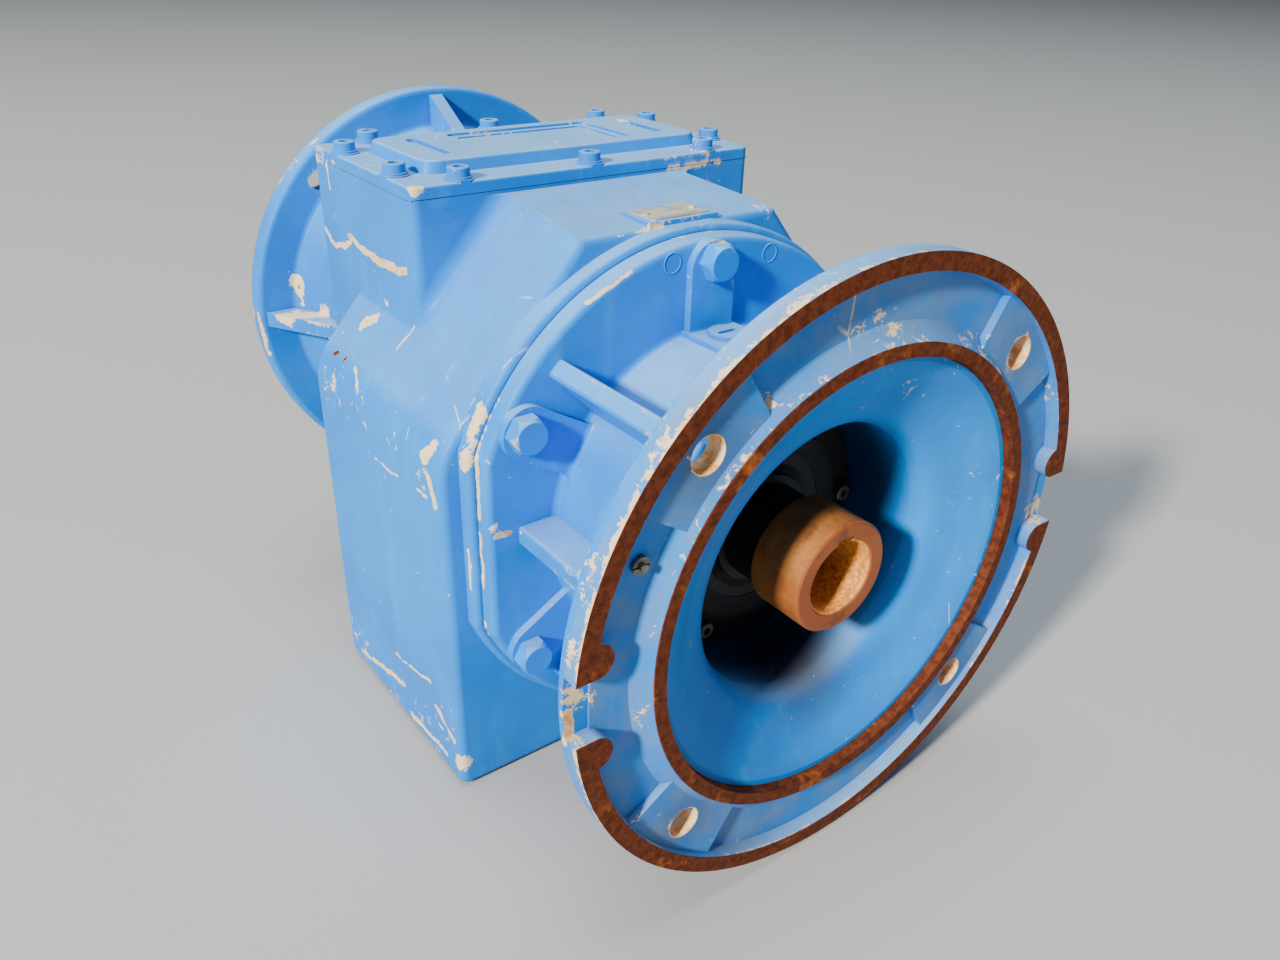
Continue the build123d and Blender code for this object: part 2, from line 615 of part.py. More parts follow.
def cover_gasket():
    """Flat gasket under the top cover."""
    centre_y = (TOWER_FRONT_Y + TOWER_BACK_Y) / 2
    gasket = slab(-TOWER_X + 1, TOWER_X - 1, TOWER_FRONT_Y + 1, TOWER_BACK_Y - 1, TOWER_TOP_Z,
                  TOWER_TOP_Z + GASKET_T)
    gasket = gasket - slab(-COVER_SEAT_X, COVER_SEAT_X, centre_y - COVER_SEAT_HALF_Y,
                           centre_y + COVER_SEAT_HALF_Y, TOWER_TOP_Z - 1, TOWER_TOP_Z + 2)
    for x, y in cover_screw_places():
        gasket = gasket - post(4.5, TOWER_TOP_Z - 2, TOWER_TOP_Z + 2, x, y)
    return gasket


def cover_screws():
    """Socket head screws of the top cover."""
    screws = []
    for x, y in cover_screw_places():
        screws.append(Pos(x, y, COVER_TOP_Z + 2.0) * socket_screw(4.0, 6.5, 5.0, 20))
    return group(screws)


def cover_washers():
    """Spring washers under the cover screws."""
    washers = []
    for x, y in cover_screw_places():
        washers.append(post(7.6, COVER_TOP_Z + 0.8, COVER_TOP_Z + 2.0, x, y)
                       - post(4.3, COVER_TOP_Z, COVER_TOP_Z + 4, x, y))
    return group(washers)


def nameplate():
    """Blank rating plate on the shoulder pad."""
    z = shoulder_z(NAMEPLATE_Y) + NAMEPLATE_PAD_H
    plate = Pos(0, NAMEPLATE_Y, z) * extrude(RectangleRounded(39, 23, 2), 0.8)
    for side in (-1, 1):
        plate = plate - post(1.4, z - 2, z + 3, side * RIVET_X, NAMEPLATE_Y)
    return plate


def nameplate_rivets():
    """Two drive rivets of the rating plate."""
    z = shoulder_z(NAMEPLATE_Y) + NAMEPLATE_PAD_H
    rivets = []
    for side in (-1, 1):
        x = side * RIVET_X
        rivets.append(post(1.2, z - 5, z + 1, x, NAMEPLATE_Y) + post(2.2, z + 0.8, z + 1.8, x, NAMEPLATE_Y))
    return group(rivets)


def side_plug(index):
    """One screw plug of the oil bath."""
    y, z = side_plug_places()[index]
    return Pos(BODY_X, y, z) * Rot(0, 90, 0) * hex_plug(8.0, 8.5, 7.0, 12.0, 14)


# ---- output flange ---------------------------------------------------------
def output_flange():
    """Cast output flange with its seal seat."""
    start = TOWER_BACK_Y + GASKET_T
    shape = turned([(start, 0), (start, 110), (start + 12, 108), (430, 112), (OUT_RIM_BACK_Y, 124),
                    (OUT_RIM_BACK_Y, OUT_FLANGE_R), (OUT_FACE_Y, OUT_FLANGE_R), (OUT_FACE_Y, OUT_SPIGOT_R),
                    (OUT_FACE_Y + OUT_SPIGOT_H, OUT_SPIGOT_R),
                    (OUT_FACE_Y + OUT_SPIGOT_H, OUT_RECESS_R + 4), (OUT_RECESS_Y, OUT_RECESS_R),
                    (OUT_RECESS_Y, 58), (412, 56), (412, 0)],
                   z=OUTPUT_Z, soften=4.0, corners=(3, 4, 5))
    for angle in (0, 90, 180, 270):
        outline = [(108, start + 14), (112, start + 14), (145, OUT_RIM_BACK_Y - 1),
                   (145, OUT_RIM_BACK_Y + 4), (108, OUT_RIM_BACK_Y + 4)]
        web = extrude(make_face(Polyline(*outline, close=True)), 5.0, both=True)
        shape = shape + Pos(0, 0, OUTPUT_Z) * Rot(0, -angle, 0) * web
    for angle in (45, 135, 225, 315):
        x, z = polar(OUT_PCD_R, angle, OUTPUT_Z)
        shape = shape - rod(OUT_HOLE_R, 425, OUT_FACE_Y + 1, x, z)
    for angle in range(0, 360, 60):
        x, z = polar(OUT_BOLT_R, angle, OUTPUT_Z)
        shape = shape - rod(6.5, start - 1, 420, x, z)
    shape = shape - rod(36, start - 1, 420, z=OUTPUT_Z)
    return shape - rod(45, 400, 420, z=OUTPUT_Z)


def output_flange_gasket():
    """Flat gasket behind the output flange."""
    gasket = ring(109, 61, TOWER_BACK_Y, TOWER_BACK_Y + GASKET_T, z=OUTPUT_Z)
    for angle in range(0, 360, 60):
        x, z = polar(OUT_BOLT_R, angle, OUTPUT_Z)
        gasket = gasket - rod(6.5, TOWER_BACK_Y - 5, TOWER_BACK_Y + 5, x, z)
    return gasket


def output_flange_bolts():
    """Hexagon bolts inside the output flange's recess."""
    bolts = []
    for angle in range(0, 360, 60):
        x, z = polar(OUT_BOLT_R, angle, OUTPUT_Z)
        bolt = hex_bolt(6.0, 9.5, 7.5, OUT_RECESS_Y - TOWER_BACK_Y + 16)
        bolts.append(Pos(x, OUT_RECESS_Y, z) * Rot(-90, 0, 0) * bolt)
    return group(bolts)


# ---- shafts ----------------------------------------------------------------
def shaft_body(points, z, bevel=1.0):
    """Stepped shaft from (end station, radius) steps, with bevelled ends."""
    start, steps = points
    outline = [(start, 0), (start, steps[0][1] - bevel), (start + bevel, steps[0][1])]
    for index, (station, radius) in enumerate(steps[:-1]):
        outline.append((station, radius))
        outline.append((station, steps[index + 1][1]))
    end, radius = steps[-1]
    outline += [(end - bevel, radius), (end, radius - bevel), (end, 0)]
    return turned(outline, z=z)


def key(width, height, start, length, shaft_r, depth, x=0.0, z=0.0):
    """Parallel key with rounded ends, lying on top of a shaft along Y."""
    form = extrude(SlotOverall(length, width, rotation=90), height)
    return Pos(x, start + length / 2, z + shaft_r - depth) * form


def input_shaft():
    """Hollow input shaft: motor hub, bearing seats and pinion seat."""
    front = INPUT_BEARING_1_Y
    rear = INPUT_BEARING_2_Y + BEARING_6213[2]
    shaft = shaft_body((HUB_END_Y, [(HUB_BACK_Y, HUB_R), (HUB_NECK_END_Y, HUB_NECK_R),
                                    (front - 2.4, HUB_R), (front, 37.0), (rear + 5, HUB_R),
                                    (STAGE1_Y - 4, 24.0), (STAGE1_Y + STAGE1_W + 6, 15.0)]), 0.0, 1.5)
    bore_end = HUB_END_Y + MOTOR_BORE_DEPTH
    bore = turned([(HUB_END_Y - 1, 0), (HUB_END_Y - 1, MOTOR_BORE_R + 3),
                   (HUB_END_Y + 2, MOTOR_BORE_R), (bore_end, MOTOR_BORE_R), (bore_end, 0)])
    keyway = slab(-MOTOR_KEY_W / 2, MOTOR_KEY_W / 2, HUB_END_Y - 1, bore_end, 0, MOTOR_KEY_TOP)
    shaft = shaft - bore - keyway
    groove = ring(HUB_R + 2, HUB_R - 1.5, rear, rear + 2.6)
    pinion_key = key(8, 4.2, STAGE1_Y + 4, 24, 15, 4)
    end_groove = ring(20, 14.2, STAGE1_Y + STAGE1_W, STAGE1_Y + STAGE1_W + 1.6)
    return shaft - groove - pinion_key - end_groove


def input_pinion():
    """Driving pinion of the first stage."""
    wheel = gear(STAGE1_MODULE, INPUT_TEETH, 0.0, STAGE1_W, STAGE1_Y, 0.0, 90.0, 1, 15.0)
    return wheel - slab(-4, 4, STAGE1_Y - 1, STAGE1_Y + STAGE1_W + 1, 0, 18.3)


def counter_gear():
    """Driven wheel of the first stage, on the countershaft."""
    phase = 270.0 + 180.0 / COUNTER_TEETH
    wheel = gear(STAGE1_MODULE, COUNTER_TEETH, 0.0, STAGE1_W, STAGE1_Y, COUNTER_Z, phase, -1, 24.0)
    for start in (STAGE1_Y - 1, STAGE1_Y + STAGE1_W - 7):
        wheel = wheel - ring(50, 34, start, start + 8, z=COUNTER_Z)
    return wheel - slab(-7, 7, STAGE1_Y - 1, STAGE1_Y + STAGE1_W + 1, COUNTER_Z, COUNTER_Z + 27.8)


def countershaft():
    """Countershaft with the second stage's pinion cut on it."""
    seat_end = STAGE1_Y + STAGE1_W
    shaft = shaft_body((COUNTER_FRONT_Y + 0.5, [(COUNTER_FRONT_Y + 19, 17.5), (seat_end, 24.0),
                                                (seat_end + 8, 30.0), (COUNTER_REAR_Y - 2, 24.0),
                                                (COUNTER_REAR_Y + 22.5, 20.0)]), COUNTER_Z)
    pinion = gear(STAGE2_MODULE, PINION_TEETH, STAGE2_SHIFT, STAGE2_W, STAGE2_Y, COUNTER_Z,
                  270.0, 1, 0.0)
    return shaft + pinion - key(14, 6.2, STAGE1_Y + 3, 26, 24, 5.5, z=COUNTER_Z)


def output_gear():
    """Driven wheel of the second stage."""
    phase = 90.0 + 180.0 / OUTPUT_TEETH
    wheel = gear(STAGE2_MODULE, OUTPUT_TEETH, -STAGE2_SHIFT, STAGE2_W, STAGE2_Y, OUTPUT_Z, phase,
                 -1, 34.0)
    for start in (STAGE2_Y - 1, STAGE2_Y + STAGE2_W - 9):
        wheel = wheel - ring(78, 48, start, start + 10, z=OUTPUT_Z)
    return wheel - slab(-10, 10, STAGE2_Y - 1, STAGE2_Y + STAGE2_W + 1, OUTPUT_Z, OUTPUT_Z + 38.9)


def output_shaft():
    """Output shaft with its keyed end and centre thread hole."""
    end = OUT_FACE_Y + OUT_SHAFT_LENGTH
    gear_end = STAGE2_Y + STAGE2_W
    shaft = shaft_body((OUTPUT_FRONT_Y + 0.5, [(STAGE2_Y - 6, 22.5), (gear_end, 34.0),
                                               (gear_end + 8, 42.0), (OUTPUT_REAR_Y - 8, 36.0),
                                               (448.0, 32.5), (OUT_FACE_Y, 30.0),
                                               (end, OUT_SHAFT_R)]), OUTPUT_Z, 2.0)
    shaft = shaft.rotate(Axis((0, 0, OUTPUT_Z), (0, 1, 0)), -90)
    slot = key(OUT_KEY_W, 12, end - 10 - OUT_KEY_LENGTH, OUT_KEY_LENGTH, OUT_SHAFT_R,
               OUT_KEY_DEPTH, z=OUTPUT_Z)
    centre_hole = rod(8.0, end - 36, end + 1, z=OUTPUT_Z)
    gear_slot = key(20, 7.7, STAGE2_Y + 3, 32, 34, 7.5, z=OUTPUT_Z)
    return shaft - slot - centre_hole - gear_slot


def circlip(inner, outer, start, width):
    """Open retaining ring round a shaft."""
    clip = ring(outer, inner, start, start + width)
    return clip - slab(-3, 3, start - 1, start + width + 1, -outer - 2, 0)


# ---- assembly --------------------------------------------------------------
def build_nodes():
    """Every named piece of the gearbox."""
    nodes = {
        "housing": housing(),
        "input_adapter": input_adapter(),
        "output_flange": output_flange(),
        "top_cover": top_cover(),
        "cover_gasket": cover_gasket(),
        "cover_screws": cover_screws(),
        "cover_washers": cover_washers(),
        "adapter_gasket": adapter_gasket(),
        "adapter_bolts": adapter_bolts(),
        "adapter_plug": adapter_plug(),
        "recess_screw": recess_screw(),
        "output_flange_gasket": output_flange_gasket(),
        "output_flange_bolts": output_flange_bolts(),
        "nameplate": nameplate(),
        "nameplate_rivets": nameplate_rivets(),
        "oil_level_plug": side_plug(0),
        "oil_drain_plug": side_plug(1),
        "input_bearing_cover": input_bearing_cover(),
        "input_bearing_cover_screws": cover_ring_screws(),
        "input_shaft_seal": shaft_seal(HUB_R, 45, INPUT_BEARING_1_Y - 13.5, 10),
        "output_shaft_seal": shaft_seal(HUB_R, 45, OUT_RECESS_Y - 1.5, 10, OUTPUT_Z),
        "input_shaft": input_shaft(),
        "input_pinion": input_pinion(),
        "input_pinion_key": key(8, 7, STAGE1_Y + 4, 24, 15, 4),
        "input_pinion_circlip": circlip(14.3, 18.5, STAGE1_Y + STAGE1_W, 1.5),
        "input_bearing_circlip": circlip(31.2, 36.5, INPUT_BEARING_2_Y + 23, 2.5),
        "countershaft": countershaft(),
        "counter_gear": counter_gear(),
        "counter_gear_key": key(14, 9, STAGE1_Y + 3, 26, 24, 5.5, z=COUNTER_Z),
        "counter_spacer": ring(30, 24.05, COUNTER_FRONT_Y + 19.1, STAGE1_Y, z=COUNTER_Z),
        "output_shaft": output_shaft(),
        "output_gear": output_gear(),
        "output_gear_key": key(20, 12, STAGE2_Y + 3, 32, 34, 7.5, z=OUTPUT_Z),
    }
    placed = {
        "input_front": (BEARING_6213, INPUT_BEARING_1_Y, 0.0),
        "input_rear": (BEARING_6213, INPUT_BEARING_2_Y, 0.0),
        "counter_front": (BEARING_6207, COUNTER_FRONT_Y, COUNTER_Z),
        "counter_rear": (BEARING_6308, COUNTER_REAR_Y, COUNTER_Z),
        "output_front": (BEARING_6309, OUTPUT_FRONT_Y, OUTPUT_Z),
        "output_rear": (BEARING_6213, OUTPUT_REAR_Y, OUTPUT_Z),
    }
    for name, (size, start, z) in placed.items():
        outer, inner, balls = bearing(size, start, z)
        nodes[name + "_bearing_outer"] = outer
        nodes[name + "_bearing_inner"] = inner
        nodes[name + "_bearing_balls"] = balls
    return nodes


os.makedirs("parts", exist_ok=True)
for node_name, shape in build_nodes().items():
    export_step(shape, os.path.join("parts", node_name + ".step"))
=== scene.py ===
"""Looks of the in-line helical gearbox: worn blue paint, rusty machined faces, camera and light."""

import json
import math

import bmesh
import bpy
from mathutils import Matrix, Vector


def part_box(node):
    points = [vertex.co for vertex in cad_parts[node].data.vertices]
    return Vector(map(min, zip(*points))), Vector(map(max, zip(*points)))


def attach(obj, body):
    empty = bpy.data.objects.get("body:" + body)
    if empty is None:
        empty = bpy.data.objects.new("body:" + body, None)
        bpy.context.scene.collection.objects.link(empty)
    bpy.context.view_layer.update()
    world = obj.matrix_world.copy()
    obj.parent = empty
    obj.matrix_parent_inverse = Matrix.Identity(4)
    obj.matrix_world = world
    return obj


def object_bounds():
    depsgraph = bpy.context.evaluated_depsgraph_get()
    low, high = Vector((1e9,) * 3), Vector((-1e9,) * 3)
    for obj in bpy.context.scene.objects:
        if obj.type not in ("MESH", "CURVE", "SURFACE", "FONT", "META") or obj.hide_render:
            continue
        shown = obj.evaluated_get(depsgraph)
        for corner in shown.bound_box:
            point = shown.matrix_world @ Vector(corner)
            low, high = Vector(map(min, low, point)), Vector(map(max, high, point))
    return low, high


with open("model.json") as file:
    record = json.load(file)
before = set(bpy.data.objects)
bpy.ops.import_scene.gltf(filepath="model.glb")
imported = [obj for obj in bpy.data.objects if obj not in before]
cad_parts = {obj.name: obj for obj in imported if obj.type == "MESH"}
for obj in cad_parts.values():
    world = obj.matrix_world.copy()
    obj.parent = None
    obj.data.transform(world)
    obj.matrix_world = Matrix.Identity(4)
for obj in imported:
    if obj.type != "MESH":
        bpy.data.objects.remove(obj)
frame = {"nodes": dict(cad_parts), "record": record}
CAD_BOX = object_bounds()
MOUNTS = {mount["name"]: mount for mount in frame["record"]["mounts"]}

# ---- places on the object, in metres, taken from the frame ------------------
HOUSE_LOW, HOUSE_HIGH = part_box("housing")
COVER_LOW, COVER_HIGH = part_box("top_cover")
FLANGE_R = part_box("input_adapter")[1][0]
HUB_FRONT_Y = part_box("input_shaft")[0][1]
SPIGOT_R = MOUNTS["motor_spigot"]["dims"]["r_mm"] / 1000
BORE_R = MOUNTS["input_bore"]["dims"]["r_mm"] / 1000
BOLT_CIRCLE_R = MOUNTS["motor_bolts"]["dims"]["pcd_mm"] / 2000
BOLT_HOLE_R = MOUNTS["motor_bolts"]["dims"]["hole_r_mm"] / 1000
OUTPUT_Z = MOUNTS["output_shaft"]["pos_m"][2]
OUTPUT_FACE_Y = MOUNTS["output_bolts"]["pos_m"][1]
SEAT_Y = HOUSE_LOW[1]

# The four motor bolts stand on the diagonals, this far from the axis in X and in Z.
BOLT_OFFSET = BOLT_CIRCLE_R * math.sqrt(0.5)

# ---- places that the frame has no box or mount for, in metres ---------------
SEAT_HEIGHT = 0.0096
HOUSE_FRONT_Y = SEAT_Y + SEAT_HEIGHT
CHAMFER_Z = 0.051
CHAMFER_SLOPE = 1.157
PLATE_Y = 0.133
HUB_BACK_Y = 0.046
LAND_R = 0.131
RECESS_Y = 0.009
MILLIMETRE = 0.001


# ---- colours, linear --------------------------------------------------------
PAINT_BLUE = (0.001, 0.235, 0.78, 1.0)
PAINT_DEEP = (0.001, 0.180, 0.66, 1.0)
PAINT_PALE = (0.012, 0.360, 0.88, 1.0)
# pale chalky blue, partly a painted sheen of the sky on faces that point up
PAINT_CHALK_SHEEN = (0.250, 0.480, 0.74, 1.0)
DUST = (0.210, 0.260, 0.290, 1.0)
PRIMER = (0.800, 0.620, 0.400, 1.0)
RUST_BROWN = (0.150, 0.036, 0.012, 1.0)
RUST_DARK = (0.070, 0.016, 0.007, 1.0)
RUST_ORANGE = (0.420, 0.120, 0.020, 1.0)
RUST_GOLD = (0.760, 0.330, 0.080, 1.0)
# dark navy for painted shade: corners and the adapter's inner throat
PAINTED_SHADE = (0.004, 0.010, 0.030, 1.0)
# brown stain colour, also used for painted shade low in the adapter's bowl
STAIN_AND_SHADE = (0.060, 0.036, 0.026, 1.0)
HUB_TAN = (0.380, 0.145, 0.028, 1.0)
HUB_BROWN = (0.260, 0.080, 0.012, 1.0)
HUB_FACE = (0.280, 0.050, 0.005, 1.0)
BORE_GOLD = (0.850, 0.380, 0.070, 1.0)
BORE_BROWN = (0.440, 0.130, 0.020, 1.0)
# near black: painted shade for the shaft behind the hub
SHADE_BLACK = (0.012, 0.009, 0.008, 1.0)
# near-black iron colours: painted shade for the cast-iron parts inside the throat
IRON_SHADE_BLUE = (0.006, 0.009, 0.018, 1.0)
IRON_SHADE_BROWN = (0.020, 0.014, 0.010, 1.0)
STEEL = (0.300, 0.290, 0.270, 1.0)
ZINC = (0.220, 0.210, 0.190, 1.0)
BRIGHT_STEEL = (0.620, 0.620, 0.620, 1.0)
RUBBER = (0.009, 0.009, 0.010, 1.0)
FIBRE = (0.040, 0.026, 0.018, 1.0)
FIBRE_DUST = (0.160, 0.130, 0.100, 1.0)
PLATE_LIGHT = (0.620, 0.600, 0.480, 1.0)
PLATE_DULL = (0.360, 0.360, 0.300, 1.0)
FLOOR_GREY = (0.400, 0.400, 0.400, 1.0)
SKY_PALE = (0.660, 0.830, 1.000, 1.0)

# ---- surfaces ---------------------------------------------------------------
# Reaches, sway and relief are in metres, turning marks in radians per metre, and levels say how
# worn a place is, from 0 to about 1.
PAINT_SPECULAR = 0.12
EDGE_REACH = 0.0045
CORNER_REACH = 0.018
STROKE_SWAY = 0.008
STROKE_WEAR = 0.50
CHIP_LEVELS = (0.62, 0.65)
DEEP_CHIP_LEVELS = (0.86, 0.95)
RELIEF = 0.0004
HUB_TURNING = 9000.0
STEEL_TURNING = 14000.0


# ---- shader building --------------------------------------------------------
class Shader:
    """A node material with a Principled surface and short helpers for its graph."""

    def __init__(self, name):
        self.material = bpy.data.materials.new(name)
        self.material.use_nodes = True
        self.tree = self.material.node_tree
        self.surface = self.tree.nodes["Principled BSDF"]
        self.place = self.node("ShaderNodeTexCoord").outputs["Object"]
        self.normal = self.node("ShaderNodeNewGeometry").outputs["Normal"]
        sway = self.node("ShaderNodeTexNoise", {"Vector": self.place, "Scale": 60.0, "Detail": 4.0})
        swing = self.node("ShaderNodeVectorMath", {0: sway.outputs["Color"], 1: (0.5, 0.5, 0.5)},
                          operation="SUBTRACT").outputs[0]
        values = {0: swing, 1: (STROKE_SWAY,) * 3, 2: self.place}
        self.wavy = self.node("ShaderNodeVectorMath", values, operation="MULTIPLY_ADD").outputs[0]

    def node(self, kind, values=None, **settings):
        """Adds a node; values are numbers or sockets for its inputs."""
        made = self.tree.nodes.new(kind)
        for key, value in settings.items():
            setattr(made, key, value)
        for key, value in (values or {}).items():
            if isinstance(value, bpy.types.NodeSocket):
                self.tree.links.new(value, made.inputs[key])
            else:
                made.inputs[key].default_value = value
        return made

    def math(self, operation, first, second=0.0, third=0.0, clamp=False):
        """Result of a Math node."""
        values = {0: first, 1: second, 2: third}
        return self.node("ShaderNodeMath", values, operation=operation, use_clamp=clamp).outputs[0]

    def times(self, first, second):
        """Product of two values."""
        return self.math("MULTIPLY", first, second)

    def most(self, first, second):
        """Larger of two values."""
        return self.math("MAXIMUM", first, second)

    def invert(self, mask):
        """1 minus a mask."""
        return self.math("SUBTRACT", 1.0, mask)

    def split(self, vector):
        """X, Y and Z of a vector."""
        return self.node("ShaderNodeSeparateXYZ", {0: vector}).outputs

    def step(self, value, low, high):
        """0 below low, 1 above high, smooth between."""
        values = {"Value": value, "From Min": low, "From Max": high, "To Min": 0.0, "To Max": 1.0}
        made = self.node("ShaderNodeMapRange", values, interpolation_type="SMOOTHSTEP")
        return made.outputs["Result"]

    def blend(self, fraction, first, second):
        """Mixes two colours."""
        made = self.node("ShaderNodeMix", data_type="RGBA")
        for index, value in ((0, fraction), (6, first), (7, second)):
            if isinstance(value, bpy.types.NodeSocket):
                self.tree.links.new(value, made.inputs[index])
            else:
                made.inputs[index].default_value = value
        return made.outputs[2]

    def noise(self, scale, detail=3.0, rough=0.55, warp=0.0, stretch=None, shift=0.0):
        """Noise in object space; scale in cycles per metre."""
        vector = self.place
        if stretch or shift:
            values = {"Vector": vector, "Location": (shift,) * 3, "Scale": stretch or (1, 1, 1)}
            vector = self.node("ShaderNodeMapping", values).outputs[0]
        values = {"Vector": vector, "Scale": scale, "Detail": detail, "Roughness": rough,
                  "Distortion": warp}
        return self.node("ShaderNodeTexNoise", values).outputs["Fac"]

    def cells(self, scale, stretch=(1, 1, 1), shift=0.0):
        """Distance to the nearest cell border, for cracks and scratches."""
        values = {"Vector": self.place, "Location": (shift,) * 3, "Scale": stretch}
        vector = self.node("ShaderNodeMapping", values).outputs[0]
        values = {"Vector": vector, "Scale": scale, "Randomness": 1.0}
        made = self.node("ShaderNodeTexVoronoi", values, feature="DISTANCE_TO_EDGE")
        return made.outputs["Distance"]

    def edges(self, distance, low, high):
        """Mask of convex edges: short rays sent inwards meet the neighbouring face."""
        made = self.node("ShaderNodeAmbientOcclusion", {"Distance": distance}, samples=10)
        made.inside = True
        made.only_local = True
        return self.step(self.invert(made.outputs["AO"]), low, high)

    def shelter(self, distance):
        """0 in the open, 1 deep in a corner."""
        made = self.node("ShaderNodeAmbientOcclusion", {"Distance": distance}, samples=4)
        return self.invert(made.outputs["AO"])

    def along(self, start, end, width):
        """1 on a line between two points, falling to 0 at a width from it; a little wavy."""
        kind = "ShaderNodeVectorMath"
        first, last = Vector(start), Vector(end)
        line = last - first
        offset = self.node(kind, {0: self.wavy, 1: first}, operation="SUBTRACT").outputs[0]
        part = self.node(kind, {0: offset, 1: line / line.length_squared},
                         operation="DOT_PRODUCT").outputs["Value"]
        part = self.math("MULTIPLY", part, 1.0, clamp=True)
        reach = self.node(kind, {0: line, "Scale": part}, operation="SCALE").outputs[0]
        gap = self.node(kind, {0: offset, 1: reach}, operation="DISTANCE").outputs["Value"]
        return self.invert(self.step(gap, width * 0.25, width))

    def near(self, point, radius):
        """1 at a point, falling to 0 at a radius."""
        made = self.node("ShaderNodeVectorMath", {0: self.place, 1: point}, operation="DISTANCE")
        return self.invert(self.step(made.outputs["Value"], radius * 0.2, radius))

    def any_of(self, masks):
        """Largest of several masks."""
        total = masks[0]
        for mask in masks[1:]:
            total = self.most(total, mask)
        return total

    def axis_distance(self, z=0.0):
        """Distance from a shaft line along Y."""
        x, _, height = self.split(self.place)
        drop = self.math("SUBTRACT", height, z)
        squares = self.math("ADD", self.times(x, x), self.times(drop, drop))
        return self.math("SQRT", squares)

    def finish(self, colour, roughness, height, strength, distance=RELIEF, metallic=0.0):
        """Links the colour, roughness and relief to the surface."""
        values = {"Height": height, "Strength": strength, "Distance": distance}
        bump = self.node("ShaderNodeBump", values)
        values = {"Base Color": colour, "Roughness": roughness, "Normal": bump.outputs[0],
                  "Metallic": metallic}
        for key, value in values.items():
            if isinstance(value, bpy.types.NodeSocket):
                self.tree.links.new(value, self.surface.inputs[key])
            else:
                self.surface.inputs[key].default_value = value
        return self.material


def rust_colour(shader, fine=220.0):
    """Brown rust with darker pits and orange bloom."""
    patch = shader.noise(fine * 0.18, 5.0, 0.65, shift=3.1)
    grain = shader.noise(fine, 4.0, 0.7, shift=1.7)
    base = shader.blend(shader.step(grain, 0.35, 0.65), RUST_DARK, RUST_BROWN)
    return shader.blend(shader.step(patch, 0.56, 0.72), base, RUST_ORANGE), grain


def paint_film(shader, chalky_sheen, dusty, stains_and_shade):
    """Colour of the paint film, with painted shade in its corners, and the mottle that its gloss
    follows.
    """
    up = shader.split(shader.normal)[2]

    # two blues that drift slowly, paler where they face up: chalking and a painted sky sheen
    drift = shader.noise(7.0, 3.0, 0.6)
    mottle = shader.noise(46.0, 4.0, 0.6, shift=2.0)
    streak = shader.noise(24.0, 4.0, 0.6, stretch=(2.4, 2.4, 0.35), shift=3.0)
    paint = shader.blend(shader.step(drift, 0.40, 0.70), PAINT_BLUE, PAINT_DEEP)
    pale = shader.times(shader.step(mottle, 0.5, 0.8), 0.30)
    pale = shader.most(pale, shader.times(shader.step(streak, 0.52, 0.75), 0.35))
    paint = shader.blend(pale, paint, PAINT_PALE)
    # faces that point up turn paler: partly chalking, partly painted sky sheen
    chalk_sheen = shader.times(shader.step(up, 0.45, 0.98), chalky_sheen)
    chalk_sheen_break = shader.math("MULTIPLY_ADD", shader.noise(20.0, 4.0, 0.6, shift=5.0), 0.9, 0.5)
    chalk_sheen = shader.math("MULTIPLY", chalk_sheen, chalk_sheen_break, clamp=True)
    paint = shader.blend(chalk_sheen, paint, PAINT_CHALK_SHEEN)

    # dust and stains (one of the adapter's is partly painted shade), and painted shade in the
    # corners
    if dusty:
        film = shader.times(dusty(shader), shader.step(mottle, 0.25, 0.75))
        paint = shader.blend(film, paint, DUST)
    for x, y, z, radius, amount in stains_and_shade:
        film = shader.times(shader.near((x, y, z), radius), amount)
        paint = shader.blend(film, paint, STAIN_AND_SHADE)
    # painted shade: the paint turns dark navy deep in corners, where shade falls
    corner = shader.shelter(CORNER_REACH)
    corner_shade = shader.times(shader.step(corner, 0.40, 0.95), 0.5)
    return shader.blend(corner_shade, paint, PAINTED_SHADE), mottle


def paint_wear(shader, spots, strokes, wear, band):
    """How worn the paint is, how rusty its scratches are, and the regions that wear most.

    Each place is folded into the total straight after it is made, because Cycles can't hold
    many unused masks at once.
    """
    edge = shader.edges(EDGE_REACH, 0.10, 0.34)
    ragged = shader.noise(150.0, 6.0, 0.74, warp=0.5, shift=4.0)
    region = shader.noise(15.0, 3.0, 0.55, shift=8.0)
    share = shader.math("MULTIPLY_ADD", shader.step(region, 0.44, 0.62), 0.22 * wear, 0.12 * wear)
    worn = shader.times(edge, share)
    for x, y, z, radius, amount in spots:
        spot = shader.times(shader.near((x, y, z), radius), amount)
        worn = shader.most(worn, spot)
    # the band can carry a painted highlight, as on the motor flange's ring
    if band:
        worn = shader.most(worn, band(shader))
    rusty = 0.0
    for start, end, width, rust_share in strokes:
        line = shader.along(start, end, width)
        worn = shader.most(worn, shader.times(line, STROKE_WEAR))
        if rust_share:
            rusty = shader.most(rusty, shader.times(line, rust_share))
    torn = shader.math("MULTIPLY_ADD", ragged, 1.05, -0.215)
    return shader.math("ADD", worn, torn), rusty, region


def bared_places(shader, level, region):
    """Where the paint is gone: chips, with fine scratches and specks in a few regions."""
    chip = shader.step(level, *CHIP_LEVELS)
    cracks = shader.cells(21.0, (1.0, 1.0, 0.32))
    lines = shader.invert(shader.step(cracks, 0.003, 0.010))
    here = shader.step(shader.noise(9.0, 2.0, 0.5, shift=12.0), 0.58, 0.64)
    broken = shader.step(shader.noise(70.0, 3.0, 0.6, shift=6.0), 0.50, 0.58)
    scratch = shader.times(shader.times(lines, here), broken)
    specks = shader.step(shader.noise(240.0, 2.0, 0.5, shift=9.0), 0.72, 0.75)
    dots = shader.times(specks, shader.step(region, 0.46, 0.6))
    return shader.any_of([chip, shader.times(scratch, 0.7), shader.times(dots, 0.7)])


